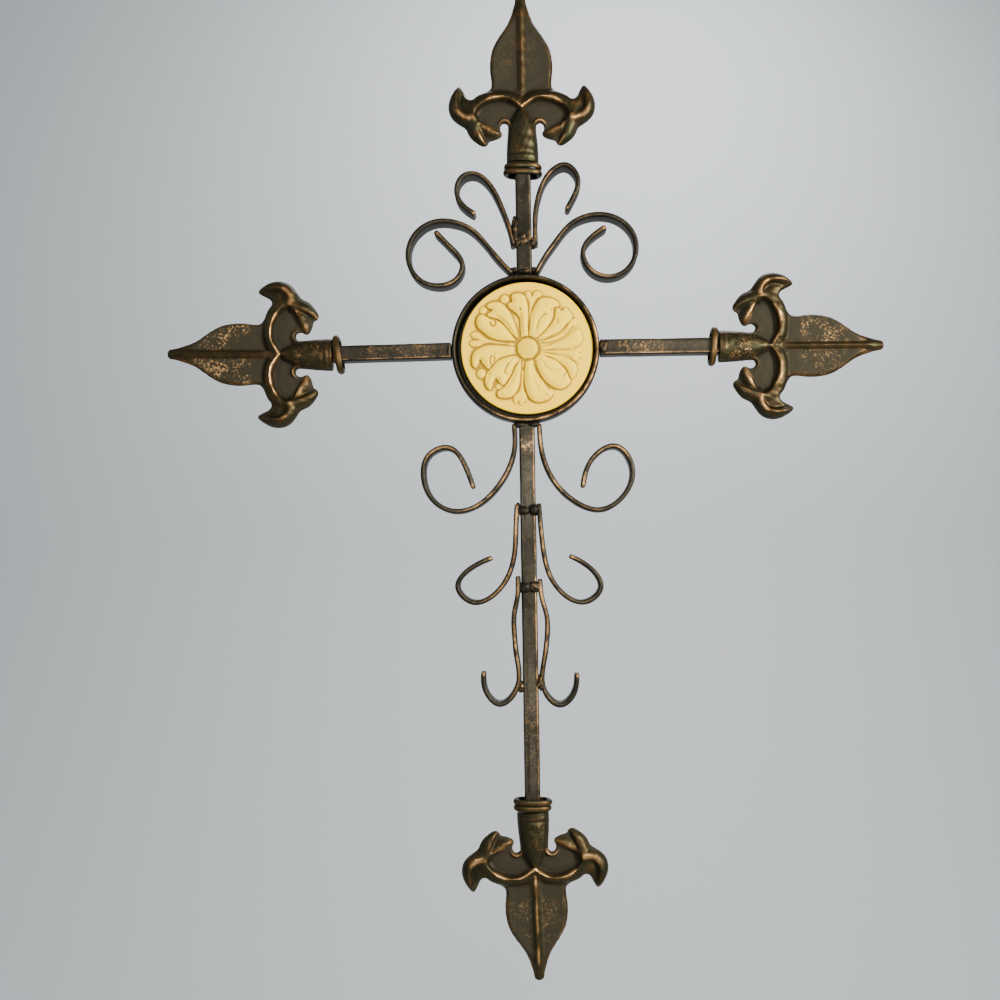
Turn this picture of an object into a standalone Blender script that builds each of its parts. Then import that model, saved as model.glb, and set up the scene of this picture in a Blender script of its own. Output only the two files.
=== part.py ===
"""Wrought iron wall cross with a rosette medallion and cast fleur-de-lis finials.

The cross hangs flat on a wall. The origin is the centre of the medallion tray's flat back, which lies
in the wall plane Y = 0. The front faces -Y, +Z is up and +X is to the viewer's right. Lengths are in
metres; the curves of the scrolls and the casting are drawn on grids of their own, tied to a length.
"""
import math

import bmesh
import bpy
import numpy as np
from mathutils import Matrix, Vector

# Clearances
GAP = 0.0003                 # between pieces that touch
WALL_CLEARANCE = 0.0003      # between the collars and the wall

# Bars
BAR = 0.010                  # square bar, across the flats
BAR_CORNER = 0.001           # chamfer that stands for its rounded corners

# Reach of the four finial tips from the medallion's centre
REACH_TOP = 0.226
REACH_BOTTOM = 0.4025
REACH_SIDE = 0.2285

# How the arms were set, as welded by eye
LEFT_ARM_DROP = math.radians(0.75)
LEFT_FINIAL_LEAN = math.radians(1.9)
RIGHT_FINIAL_LEAN = math.radians(0.4)
BOTTOM_FINIAL_LEAN = math.radians(-1.4)

# Medallion tray
TRAY_RADIUS = 0.0472
TRAY_WALL = 0.0031
TRAY_FLOOR = 0.003
TRAY_BACK_ROUND = 0.003
TRAY_RIM_ROUND = 0.0012
TRAY_SEGMENTS = 44

# Medallion
MEDALLION_RADIUS = 0.0419
MEDALLION_RECESS = 0.0028    # plain face behind the rim of the tray
MEDALLION_OFFSET_X = 0.0009  # set in a little off centre
MEDALLION_OFFSET_Z = 0.0003
MEDALLION_EDGE_ROUND = 0.0006
ROSETTE_RADIUS = 0.0367
ROSETTE_HEIGHT = 0.0024
BUTTON_RADIUS = 0.0069
BUTTON_HEIGHT = 0.0030
PETALS = 12
PETAL_SWIRL = math.radians(9)
SPOKES_PER_PETAL = 4

# Scrolls, flat strip on edge
STRIP_THICKNESS = 0.0032
STRIP_DEPTH = 0.012
SCROLL_STATIONS = 24
TRAY_GRID = 47.2             # the scrolls are drawn for a tray of this radius,
UPPER_GRID = 71.3            # an upper bar with this much showing
LOWER_GRID = 247.8           # and a lower bar with this much showing

# Collars, oval turns of wire pressed flat against the bar
COLLAR_HALF_WIDTH = 0.0125
COLLAR_HALF_DEPTH = 0.0074
COIL_WIRE = 0.0037           # height of one turn of the double collars
RING_WIRE = 0.0042           # height of a single ring
COIL_TILT = math.radians(3)
RING_TILT = math.radians(6)
COLLAR_SEGMENTS = 24

# Finial casting
FINIAL_LENGTH_UPRIGHT = 0.1075
FINIAL_LENGTH_CROSSBAR = 0.1055
FINIAL_HEAD = 0.094          # tip to the ends of the curled lobes
FINIAL_GRID = 94             # the head is drawn on a grid of this many units
SOCKET_HALF_WIDTH = 0.0102
SOCKET_FLATNESS = 0.69       # depth over width of its oval
SOCKET_BEVEL = 0.0008
SOCKET_SEGMENTS = 20
ARM_CREST = 0.45             # how far the arm's ridge stands towards the socket, as a share
LOBE_CREST = 0.1             # and that of the outer lobe
FINIAL_DETAIL = 0.62         # share of the faces kept after the parts are joined

# Worked out from the above
AXIS_Y = -(COLLAR_HALF_DEPTH + WALL_CLEARANCE)
FRONT_Y = AXIS_Y - STRIP_DEPTH / 2
STRIP_OFFSET = BAR / 2 + GAP + STRIP_THICKNESS / 2
UNIT = FINIAL_HEAD / FINIAL_GRID
OUTWARD_UNIT = TRAY_RADIUS / TRAY_GRID
UPPER_UNIT = (REACH_TOP - FINIAL_LENGTH_UPRIGHT - TRAY_RADIUS) / UPPER_GRID
LOWER_UNIT = (REACH_BOTTOM - FINIAL_LENGTH_UPRIGHT - TRAY_RADIUS) / LOWER_GRID

# Each scroll's centreline, outward and up from its foot. A foot on the upright lies against the bar's
# side, at a height above or below the tray's rim; a foot on the tray stands at a distance from the
# upright's axis and at a height over the rim. Outward distances follow the tray, heights the bar that
# the scroll stands beside, so that a longer bar stretches its scrolls.
SCROLLS = {
    "scroll_crown_left": {
        "foot": ("upright", 18.3),
        "curve": [(0, 0), (0.9, 6), (3.5, 15), (8.3, 27.5), (16, 40.5), (24, 45.5), (31, 44), (35.3, 35),
                  (32.2, 26.5), (24, 20)],
    },
    "scroll_crown_right": {
        "foot": ("upright", 18.8),
        "curve": [(0.4, 0), (0.3, 9), (0.9, 21), (4, 34), (10, 44.5), (20.5, 49.7), (27.9, 41),
                  (25, 29.5), (20.5, 21.5)],
    },
    "scroll_shoulder_left": {
        "foot": ("tray", 7.8, 0.3),
        "curve": [(0, 0), (8.6, 9.2), (15, 17.2), (25.2, 28), (36, 32.9), (50, 33), (61.5, 25),
                  (65.8, 12), (58.8, -3.1), (46.9, -7.1), (35, -2.8), (31.5, 6.6), (37.7, 16.1),
                  (48.2, 27.1)],
    },
    "scroll_shoulder_right": {
        "foot": ("tray", 7.4, 0.5),
        "curve": [(0, 0), (6.5, 11), (13, 19.8), (22.8, 30.7), (35, 35.8), (50, 34.5), (61.5, 24.5),
                  (63.5, 12), (57.5, 1), (45, -3.3), (33, 3.2), (30, 13), (44.5, 28.3)],
    },
    "scroll_hip_left": {
        "foot": ("tray", 8, -0.8),
        "curve": [(0, 0), (0, -15), (4.5, -29.5), (13, -42), (24.5, -51.5), (39.5, -54.5),
                  (52.5, -47), (58, -33), (54.5, -19), (41, -14.5), (31.5, -26), (26.5, -40)],
    },
    "scroll_hip_right": {
        "foot": ("tray", 8, -1.0),
        "curve": [(0, 0), (1.5, -18.3), (8.5, -35.8), (21, -48.8), (38, -54.8), (53.5, -45.3),
                  (58.5, -28.3), (48.5, -14.8), (33, -22.8), (27, -40.3)],
    },
    "scroll_knee_left": {
        "foot": ("upright", -51.8),
        "curve": [(0, 0), (1, -15), (2, -30), (6, -44.5), (15, -56.5), (29, -61.5), (38.5, -51.5),
                  (30, -40), (16.5, -33.5)],
    },
    "scroll_knee_right": {
        "foot": ("upright", -51.3),
        "curve": [(0, 0), (1, -15), (2.5, -30), (6, -45), (14.5, -57.5), (28, -63), (38.5, -54),
                  (32, -41.5), (19, -33.5)],
    },
    "scroll_foot_left": {
        "foot": ("upright", -97.3),
        "curve": [(0.2, 0), (0.6, -12.5), (3, -24.5), (3, -37), (2, -49.5), (0.5, -62), (3.5, -74),
                  (13, -81), (21.5, -73), (23, -60.5)],
    },
    "scroll_foot_right": {
        "foot": ("upright", -99.3),
        "curve": [(0, 0), (1, -12), (4, -24), (4, -36.5), (2.5, -48.5), (0.5, -60.5), (2.5, -72.5),
                  (12, -80), (20.5, -72.5), (22.5, -60.5)],
    },
}

# The casting's blade: distance from the tip, half width, half thickness at the midrib
BLADE = [(0, 1.6, 1.5), (1.2, 2.8, 2.5), (4.5, 3.6, 3.1), (14, 6.7, 3.5), (20.5, 9.5, 3.8),
         (27, 13.4, 4.1), (33, 16.6, 4.4), (39.5, 19.0, 4.6), (46, 20.1, 4.8), (57.5, 19.1, 5.0),
         (63, 17.0, 5.0)]

# Its limbs: distance from the tip, distance from the axis, half width, half thickness
ARM = [(69, -2, 4.2, 6.0), (66.4, 5, 4.8, 6.2), (63.6, 12, 5.2, 6.2), (63.6, 19, 5.4, 6.2),
       (66, 25.5, 5.4, 6.2), (70, 31.5, 5.6, 6.2), (75, 37, 4.8, 5.4)]
HORN = [(77.5, 34, 4.6, 5.2), (72, 40.4, 5.6, 5.8), (66.5, 41.8, 5.1, 5.2), (61, 41, 3.3, 3.6),
        (56.8, 40.6, 0.8, 1.0)]
OUTER_LOBE = [(70, 40, 5.0, 5.0), (76.5, 38, 5.7, 5.6), (83.5, 31.8, 4.6, 5.2),
              (90.5, 26.6, 3.6, 4.0), (94.3, 23.6, 0.9, 1.4)]
INNER_LOBE = [(78, 33, 3.6, 4.6), (84, 26, 4.2, 5.0), (86.6, 19.5, 3.4, 4.2), (87, 13.8, 1.2, 1.8)]
WEB = [(64, 0), (64, 24), (70, 34), (80, 33), (84.5, 23), (81.5, 15), (79.7, 12.4), (79.6, 10),
       (81, 8.4), (86, 8), (86, 0)]
WEB_HALF_THICKNESS = 2.6
SOCKET_NECK = [(68, 2.0), (74, 6.4), (80, 8.7), (87, 9.4)]


def clear_scene():
    for item in list(bpy.data.objects):
        bpy.data.objects.remove(item, do_unlink=True)


def make_material(name, colour, roughness, metallic):
    material = bpy.data.materials.new(name)
    material.use_nodes = True
    shader = material.node_tree.nodes["Principled BSDF"]
    shader.inputs["Base Color"].default_value = (*colour, 1.0)
    shader.inputs["Roughness"].default_value = roughness
    shader.inputs["Metallic"].default_value = metallic
    return material


def make_object(name, vertices, faces):
    mesh = bpy.data.meshes.new(name)
    mesh.from_pydata([tuple(v) for v in vertices], [], faces)
    mesh.update()
    item = bpy.data.objects.new(name, mesh)
    bpy.context.collection.objects.link(item)
    return item


def skin(sections):
    """Vertices and faces of a closed skin over rings of equal point count, capped at both ends."""
    count = len(sections[0])
    vertices = [point for section in sections for point in section]
    faces = []
    for ring in range(len(sections) - 1):
        for k in range(count):
            a = ring * count + k
            b = ring * count + (k + 1) % count
            faces.append((a, b, b + count, a + count))
    faces.append(tuple(reversed(range(count))))
    last = (len(sections) - 1) * count
    faces.append(tuple(range(last, last + count)))
    return vertices, faces


def face_outward(item):
    work = bmesh.new()
    work.from_mesh(item.data)
    bmesh.ops.recalc_face_normals(work, faces=work.faces)
    if work.calc_volume(signed=True) < 0:
        bmesh.ops.reverse_faces(work, faces=work.faces)
    work.to_mesh(item.data)
    work.free()


def finish(item, material, smooth_angle=40):
    face_outward(item)
    item.data.materials.clear()
    item.data.materials.append(material)
    item.data.shade_smooth()
    item.data.set_sharp_from_angle(angle=math.radians(smooth_angle))


def turned(name, profile, segments):
    """Solid turned about its own Z axis. A profile point is (radius, height); a zero radius closes."""
    work = bmesh.new()
    points = [work.verts.new((radius, 0, height)) for radius, height in profile]
    edges = [work.edges.new((points[k], points[(k + 1) % len(points)])) for k in range(len(points))]
    if profile[0][0] == 0 and profile[-1][0] == 0:
        work.edges.remove(edges.pop())
    bmesh.ops.spin(work, geom=points + edges, cent=(0, 0, 0), axis=(0, 0, 1),
                   angle=math.tau, steps=segments)
    bmesh.ops.remove_doubles(work, verts=work.verts, dist=1e-6)
    mesh = bpy.data.meshes.new(name)
    work.to_mesh(mesh)
    work.free()
    item = bpy.data.objects.new(name, mesh)
    bpy.context.collection.objects.link(item)
    face_outward(item)
    return item


def fuse(pieces):
    """One closed mesh, the union of the given overlapping objects, which are used up."""
    main = pieces[0]
    for piece in pieces[1:]:
        union = main.modifiers.new(piece.name, "BOOLEAN")
        union.operation = "UNION"
        union.solver = "EXACT"
        union.object = piece
    thin = main.modifiers.new("thin", "DECIMATE")
    thin.ratio = FINIAL_DETAIL
    bpy.context.view_layer.update()
    depsgraph = bpy.context.evaluated_depsgraph_get()
    mesh = bpy.data.meshes.new_from_object(main.evaluated_get(depsgraph))
    for piece in pieces:
        bpy.data.objects.remove(piece, do_unlink=True)
    work = bmesh.new()
    work.from_mesh(mesh)
    bmesh.ops.remove_doubles(work, verts=work.verts, dist=2e-5)
    bmesh.ops.dissolve_degenerate(work, edges=work.edges, dist=2e-5)
    bmesh.ops.triangulate(work, faces=work.faces)
    work.to_mesh(mesh)
    work.free()
    return mesh


def smooth_curve(knots, steps):
    """Points along the natural cubic spline through the knots, evenly spread over length and turn."""
    knots = np.asarray(knots, float)
    chord = np.linalg.norm(np.diff(knots, axis=0), axis=1)
    stations = np.concatenate([[0], np.cumsum(chord)])
    count = len(knots)
    system = np.eye(count)
    right = np.zeros((count, 2))
    for k in range(1, count - 1):
        system[k, k - 1:k + 2] = chord[k - 1], 2 * (chord[k - 1] + chord[k]), chord[k]
        right[k] = 6 * ((knots[k + 1] - knots[k]) / chord[k] - (knots[k] - knots[k - 1]) / chord[k - 1])
    bend = np.linalg.solve(system, right)

    def sample(where):
        k = np.clip(np.searchsorted(stations, where, side="right") - 1, 0, count - 2)
        span = chord[k][:, None]
        a = (stations[k + 1] - where)[:, None] / span
        b = 1 - a
        cubic_a = (a ** 3 - a) * span ** 2 / 6
        cubic_b = (b ** 3 - b) * span ** 2 / 6
        return a * knots[k] + b * knots[k + 1] + cubic_a * bend[k] + cubic_b * bend[k + 1]

    fine = np.linspace(0, stations[-1], 600)
    step = np.diff(sample(fine), axis=0)
    length = np.linalg.norm(step, axis=1)
    heading = np.unwrap(np.arctan2(step[:, 1], step[:, 0]))
    turn = np.abs(np.diff(heading, prepend=heading[0]))
    effort = np.concatenate([[0], np.cumsum(length / length.sum() + 1.5 * turn / (turn.sum() + 1e-9))])
    return sample(np.interp(np.linspace(0, effort[-1], steps), effort, fine))


def normals_2d(points):
    tangent = np.gradient(points, axis=0)
    tangent /= np.linalg.norm(tangent, axis=1)[:, None]
    return np.stack([tangent[:, 1], -tangent[:, 0]], axis=1)


def square_bar(name, start, length, turn):
    """Bar along its own +Z from the start height, then turned about Y to its direction."""
    half = BAR / 2
    inner = half - BAR_CORNER
    outline = [(half, -inner), (half, inner), (inner, half), (-inner, half),
               (-half, inner), (-half, -inner), (-inner, -half), (inner, -half)]
    sections = [[(x, y, z) for x, y in outline] for z in (start, start + length)]
    item = make_object(name, *skin(sections))
    item.location = (0, AXIS_Y, 0)
    item.rotation_euler = (0, turn, 0)
    return item


def collar(name, turns, wire, tilt):
    """Collar about its own Z axis: oval outside, one rounded lobe for each turn, square hole."""
    half = turns * wire / 2
    hole = (BAR / 2 + GAP + half * math.sin(tilt)) / math.cos(tilt)
    loops = [("hole", -half), ("hole", half)]
    for k in reversed(range(turns)):
        middle = -half + wire * (k + 0.5)
        for angle in (math.radians(65), 0, -math.radians(65)):
            loops.append((wire / 2 * (1 - math.cos(angle)), middle + wire / 2 * math.sin(angle)))
    sections = []
    for inset, height in loops:
        section = []
        for k in range(COLLAR_SEGMENTS):
            angle = math.tau * (k + 0.5) / COLLAR_SEGMENTS
            x, y = math.cos(angle), math.sin(angle)
            if inset == "hole":
                reach = hole / max(abs(x), abs(y))
                section.append((x * reach, y * reach, height))
            else:
                section.append((x * (COLLAR_HALF_WIDTH - inset), y * (COLLAR_HALF_DEPTH - inset), height))
        sections.append(section)
    count = COLLAR_SEGMENTS
    faces = []
    for ring in range(len(sections)):
        above = (ring + 1) % len(sections)
        for k in range(count):
            nxt = (k + 1) % count
            faces.append((ring * count + k, ring * count + nxt, above * count + nxt, above * count + k))
    return make_object(name, [point for section in sections for point in section], faces)


def tray():
    """Shallow round tray with a rounded rim, its flat back in the plane Y = 0."""
    depth = -FRONT_Y
    inner = TRAY_RADIUS - TRAY_WALL
    rim = TRAY_RIM_ROUND
    back = TRAY_BACK_ROUND
    slant = back * (1 - math.sqrt(0.5))
    profile = [(0, 0), (TRAY_RADIUS - back, 0), (TRAY_RADIUS - slant, slant), (TRAY_RADIUS, back),
               (TRAY_RADIUS, depth - rim), (TRAY_RADIUS - rim * 0.35, depth - rim * 0.25),
               (TRAY_RADIUS - TRAY_WALL / 2, depth), (inner + rim * 0.35, depth - rim * 0.25),
               (inner, depth - rim), (inner, TRAY_FLOOR), (0, TRAY_FLOOR)]
    item = turned("medallion_bezel", profile, TRAY_SEGMENTS)
    item.rotation_euler = (math.pi / 2, 0, 0)
    return item


def rosette(radius, angle):
    """Height of the relief above the medallion's plain face."""
    if radius < BUTTON_RADIUS:
        return BUTTON_HEIGHT * (0.75 + 0.25 * math.cos(radius / BUTTON_RADIUS * math.pi / 2))
    swirl = PETAL_SWIRL * (radius / ROSETTE_RADIUS - 0.5)
    lobe = abs(math.cos(PETALS / 2 * (angle - swirl)))
    reach = ROSETTE_RADIUS * (0.84 + 0.16 * lobe)
    if radius > reach:
        return 0.0
    share = (radius - BUTTON_RADIUS) / (reach - BUTTON_RADIUS)
    return ROSETTE_HEIGHT * (0.35 + 0.65 * lobe ** 0.7) * math.sin(math.pi * (0.12 + 0.80 * share)) ** 0.6


def medallion():
    spokes = PETALS * SPOKES_PER_PETAL
    shares = [0.93, 0.86, 0.78, 0.66, 0.52, 0.38, 0.28, 0.19, 0.15, 0.07]
    face = -FRONT_Y - MEDALLION_RECESS
    edge = MEDALLION_EDGE_ROUND
    rims = [(MEDALLION_RADIUS, TRAY_FLOOR + GAP), (MEDALLION_RADIUS, face - edge),
            (MEDALLION_RADIUS - edge, face)]
    rings = [[rim] * spokes for rim in rims]
    for share in shares:
        radius = MEDALLION_RADIUS * share
        rings.append([(radius, face + rosette(radius, math.tau * k / spokes)) for k in range(spokes)])
    sections = []
    for ring in rings:
        section = []
        for k, (radius, height) in enumerate(ring):
            angle = math.tau * k / spokes
            section.append((radius * math.cos(angle), -height, radius * math.sin(angle)))
        sections.append(section)
    item = make_object("medallion", *skin(sections))
    item.location = (MEDALLION_OFFSET_X, 0, MEDALLION_OFFSET_Z)
    return item


def scroll(name):
    """Flat strip on edge, bent along its centreline, with square-cut ends."""
    side = -1 if name.endswith("left") else 1
    foot = SCROLLS[name]["foot"]
    curve = SCROLLS[name]["curve"]
    upward = curve[1][1] > 0
    rise_unit = UPPER_UNIT if upward else LOWER_UNIT
    rim = TRAY_RADIUS if upward else -TRAY_RADIUS
    if foot[0] == "upright":
        start = np.array([STRIP_OFFSET, rim + foot[1] * rise_unit])
    else:
        start = np.array([foot[1] * OUTWARD_UNIT, rim + foot[2] * OUTWARD_UNIT])
    line = start + smooth_curve(curve, SCROLL_STATIONS) * (OUTWARD_UNIT, rise_unit)
    line[:, 0] *= side
    across = normals_2d(line) * STRIP_THICKNESS / 2
    sections = []
    for point, normal in zip(line, across):
        outer = point + normal
        inner = point - normal
        sections.append([(outer[0], FRONT_Y, outer[1]), (inner[0], FRONT_Y, inner[1]),
                         (inner[0], FRONT_Y + STRIP_DEPTH, inner[1]),
                         (outer[0], FRONT_Y + STRIP_DEPTH, outer[1])])
    return make_object(name, *skin(sections))


def blade():
    """Leaf-shaped blade with a midrib, its tip at the origin and pointing along +Z."""
    sections = []
    for down, half, rib in BLADE:
        rib_side = min(2.0, 0.35 * half)
        groove = min(3.0, 0.55 * half)
        side = [(0, rib), (rib_side, 0.8 * rib), (groove, 0.6 * rib), (0.82 * half, 0.5 * rib)]
        quarter = side + [(half, 0)]
        back = [(x, -y) for x, y in reversed(side)]
        left = [(-x, y) for x, y in reversed((quarter + back)[1:-1])]
        sections.append([(x * UNIT, y * UNIT, -down * UNIT) for x, y in quarter + back + left])
    return make_object("blade", *skin(sections))


def limb(name, stations, side, crest=0.0):
    """Tapering limb of the casting, ridged on both faces, along its stations."""
    stations = np.array(stations, float)
    line = stations[:, :2]
    normal = normals_2d(line)
    sections = []
    for (down, out), (n_down, n_out), (_, _, half, thick) in zip(line, -normal, stations):
        shape = [(-1.0, 0.0), (-0.6, 0.62), (crest, 1.0), (0.85, 0.55), (1.0, 0.0),
                 (0.85, -0.55), (crest, -1.0), (-0.6, -0.62)]
        section = []
        for across, deep in shape:
            section.append((side * (out + n_out * across * half) * UNIT, deep * thick * UNIT,
                            -(down + n_down * across * half) * UNIT))
        sections.append(section)
    item = make_object(name, *skin(sections))
    face_outward(item)
    return item


def web(side):
    sections = []
    for deep in (-WEB_HALF_THICKNESS, WEB_HALF_THICKNESS):
        sections.append([(side * out * UNIT - (side * UNIT if out == 0 else 0), deep * UNIT,
                          -down * UNIT) for down, out in WEB])
    item = make_object("web", *skin(sections))
    face_outward(item)
    return item


def finial_mesh(length):
    """The casting, its tip at the origin and its socket mouth at -length along Z."""
    mouth = length / UNIT
    profile = [(0, -SOCKET_NECK[0][0] * UNIT)]
    profile += [(radius * UNIT, -down * UNIT) for down, radius in SOCKET_NECK]
    profile += [(SOCKET_HALF_WIDTH, -(mouth - 4) * UNIT), (SOCKET_HALF_WIDTH, -length + SOCKET_BEVEL),
                (SOCKET_HALF_WIDTH - SOCKET_BEVEL, -length), (0, -length)]
    pieces = [blade()]
    face_outward(pieces[0])
    socket = turned("socket", profile, SOCKET_SEGMENTS)
    for vertex in socket.data.vertices:
        vertex.co.y *= SOCKET_FLATNESS
    pieces.append(socket)
    for side in (-1, 1):
        pieces.append(web(side))
        pieces.append(limb("arm", ARM, side, ARM_CREST))
        pieces.append(limb("horn", HORN, side))
        pieces.append(limb("outer_lobe", OUTER_LOBE, side, LOBE_CREST))
        pieces.append(limb("inner_lobe", INNER_LOBE, side))
    return fuse(pieces)


def along(turn, distance):
    """Point on the axis of an arm that is turned from upright by this angle about Y."""
    return Vector((0, AXIS_Y, 0)) + Matrix.Rotation(turn, 3, "Y") @ Vector((0, 0, distance))


def place_finial(name, mesh, length, reach, turn, lean):
    """Finial in line with its arm but leaning about the centre of its socket mouth."""
    item = bpy.data.objects.new(name, mesh.copy())
    bpy.context.collection.objects.link(item)
    item.rotation_euler = (0, turn + lean, 0)
    to_tip = Matrix.Rotation(turn + lean, 3, "Y") @ Vector((0, 0, length))
    item.location = along(turn, reach - length) + to_tip
    return item


def place_collar(name, turns, wire, tilt, turn, end):
    """Collar on an arm's bar, as near its outer end as its tilt allows."""
    item = collar(name, turns, wire, abs(tilt))
    half = turns * wire / 2 * math.cos(tilt) + (COLLAR_HALF_WIDTH - wire / 2) * math.sin(abs(tilt))
    item.location = along(turn, end - half)
    item.rotation_euler = (0, turn + tilt, 0)
    return item


def build():
    clear_scene()
    bronze = make_material("bronzed_iron", (0.085, 0.068, 0.045), 0.45, 0.8)
    casting = make_material("bronzed_casting", (0.12, 0.075, 0.035), 0.42, 0.85)
    cream = make_material("cream_resin", (0.82, 0.68, 0.36), 0.55, 0.0)

    finish(tray(), bronze)
    finish(medallion(), cream, 60)
    for name in SCROLLS:
        finish(scroll(name), bronze)

    arms = [
        ("upright_upper", "top", 0.0, REACH_TOP, FINIAL_LENGTH_UPRIGHT, 0.0, 2, COIL_WIRE, COIL_TILT),
        ("crossbar_right", "right", math.pi / 2, REACH_SIDE, FINIAL_LENGTH_CROSSBAR,
         RIGHT_FINIAL_LEAN, 1, RING_WIRE, RING_TILT),
        ("upright_lower", "bottom", math.pi, REACH_BOTTOM, FINIAL_LENGTH_UPRIGHT,
         BOTTOM_FINIAL_LEAN, 2, COIL_WIRE, COIL_TILT),
        ("crossbar_left", "left", -math.pi / 2 - LEFT_ARM_DROP, REACH_SIDE, FINIAL_LENGTH_CROSSBAR,
         LEFT_FINIAL_LEAN, 1, RING_WIRE, -RING_TILT),
    ]
    castings = {length: finial_mesh(length) for length in (FINIAL_LENGTH_UPRIGHT, FINIAL_LENGTH_CROSSBAR)}
    for bar_name, place, turn, reach, length, lean, turns, wire, tilt in arms:
        start = TRAY_RADIUS + GAP
        end = reach - length - GAP - SOCKET_HALF_WIDTH * math.sin(abs(lean))
        finish(square_bar(bar_name, start, end - start, turn), bronze)
        finish(place_collar("collar_" + place, turns, wire, tilt, turn, end), casting)
        finial = place_finial("finial_" + place, castings[length], length, reach, turn, lean)
        finish(finial, casting, 30)


build()
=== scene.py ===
"""Looks of a wrought iron wall cross: patinated bars and scrolls, cast finials, a carved rosette.

Lengths are in millimetres until they go into a mesh. Z is up, the front faces -Y and the wall plane is
Y = 0. Every piece is a surface worked out as arrays of points, and carries some of these values at each
point for its material: "rub", how far it is rubbed bright, which on the bars, the scrolls, the tray's
rim and the castings' broad arm crests is partly a painted highlight; "hollow", how dark it is, which is
tan antiquing deepened with painted shade in the rosette's creases, painted shade on the bars' sides and
in the tray's gap, and a darker tone on some welds; "dust", how dull a floor or flat is; "shade", how far
it lies below what is round it; "fleck", where bare metal shows in specks; "streak" and "pale", where a
bar's skin is worn to a paler brown, and on the bottom bar under the tray also a painted sheen.
"""

import math

import bpy
import numpy as np
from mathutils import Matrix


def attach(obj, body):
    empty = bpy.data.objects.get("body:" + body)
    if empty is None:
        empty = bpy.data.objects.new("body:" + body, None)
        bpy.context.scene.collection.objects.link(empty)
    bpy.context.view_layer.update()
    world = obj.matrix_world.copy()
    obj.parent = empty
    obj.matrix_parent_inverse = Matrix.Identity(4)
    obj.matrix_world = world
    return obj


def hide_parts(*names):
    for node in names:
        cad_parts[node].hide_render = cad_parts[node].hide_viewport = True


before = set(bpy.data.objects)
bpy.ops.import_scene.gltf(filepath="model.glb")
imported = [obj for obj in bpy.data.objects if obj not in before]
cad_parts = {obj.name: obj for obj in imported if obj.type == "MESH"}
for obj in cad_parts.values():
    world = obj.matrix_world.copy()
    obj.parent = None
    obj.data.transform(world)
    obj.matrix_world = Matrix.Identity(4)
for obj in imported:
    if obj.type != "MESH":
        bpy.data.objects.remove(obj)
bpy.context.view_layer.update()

# Sizes shared with the solids

# Depth of the middle of the bars, strips and castings, and of the front of the tray's rim
AXIS_Y = -7.7
FRONT_Y = -13.7
# Square bar, and flat strip as its thickness and depth, with the radius of their corners
BAR = 10.0
BAR_CORNER = 1.3
STRIP = (3.2, 12.0)
STRIP_CORNER = 1.35
# Tray's radius and the thickness of its floor
TRAY_RADIUS = 47.2
TRAY_FLOOR = 3.0
# Disc's radius, its middle in the tray (right, up), and how far its face lies behind the tray's rim
DISC_RADIUS = 41.9
DISC_MIDDLE = (0.9, 0.3)
DISC_SUNK = 2.8
# Each arm: its tip's distance from the tray's middle, its casting's length, its heading in degrees
# clockwise from up, and how many degrees its casting leans off that
REACH = {"top": 226.0, "bottom": 402.5, "left": 228.5, "right": 228.5}
LENGTH = {"top": 107.5, "bottom": 107.5, "left": 105.5, "right": 105.5}
TURN = {"top": 0.0, "bottom": 180.0, "left": -90.75, "right": 90.0}
LEAN = {"top": 0.0, "bottom": -1.4, "left": 1.9, "right": 0.4}
BAR_OF = {"top": "upright_upper", "bottom": "upright_lower",
          "left": "crossbar_left", "right": "crossbar_right"}
# Half width of a casting at its socket's mouth, and the gap between pieces that are welded together
SOCKET_HALF_WIDTH = 10.2
GAP = 0.3


# Numbers on curves and grids

def ease(low, high, x):
    """0 below low, 1 above high, a smooth S between."""
    t = np.clip((x - low) / (high - low), 0, 1)
    return t * t * (3 - 2 * t)


def merge(a, b, soft):
    """The higher of two heights, rounded where they cross over about the soft distance."""
    return 0.5 * (a + b + np.sqrt((a - b) ** 2 + soft ** 2) - soft)


def dome(x, power=0.5):
    """A rounded section: 1 at x = 0, falling to 0 at x = 1 and beyond."""
    return np.clip(1 - x * x, 0, None) ** power


def round_in(depth, width):
    """A rounded edge: 0 at the outline, rising by a quarter circle to 1 at that width in from it."""
    return dome(1 - np.clip(depth / width, 0, 1))


def glow(distance, width):
    """1 on a line, fading beside it over about that width."""
    return np.exp(-(distance / width) ** 2)


def wander(x, y, seed, scale):
    """Slow unevenness between about -1 and 1: a sum of five sine waves in fixed directions."""
    rng = np.random.default_rng(seed)
    total = 0
    for _ in range(5):
        heading, phase, pitch = rng.uniform(0, math.tau), rng.uniform(0, math.tau), rng.uniform(0.6, 1.6)
        ahead = x * math.cos(heading) + y * math.sin(heading)
        total = total + np.sin(ahead * pitch * math.tau / scale + phase)
    return total / 3


def soften(field, sigma):
    """A grid of values blurred by a bell curve of that many cells, both ways."""
    reach = int(math.ceil(3 * sigma))
    bell = np.exp(-0.5 * (np.arange(-reach, reach + 1) / sigma) ** 2)
    bell /= bell.sum()
    for axis in (0, 1):
        pad = [(0, 0), (0, 0)]
        pad[axis] = (reach, reach)
        wide = np.pad(field, pad, mode="edge")
        span = field.shape[axis]
        field = sum(w * np.take(wide, range(k, k + span), axis=axis) for k, w in enumerate(bell))
    return field


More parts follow.
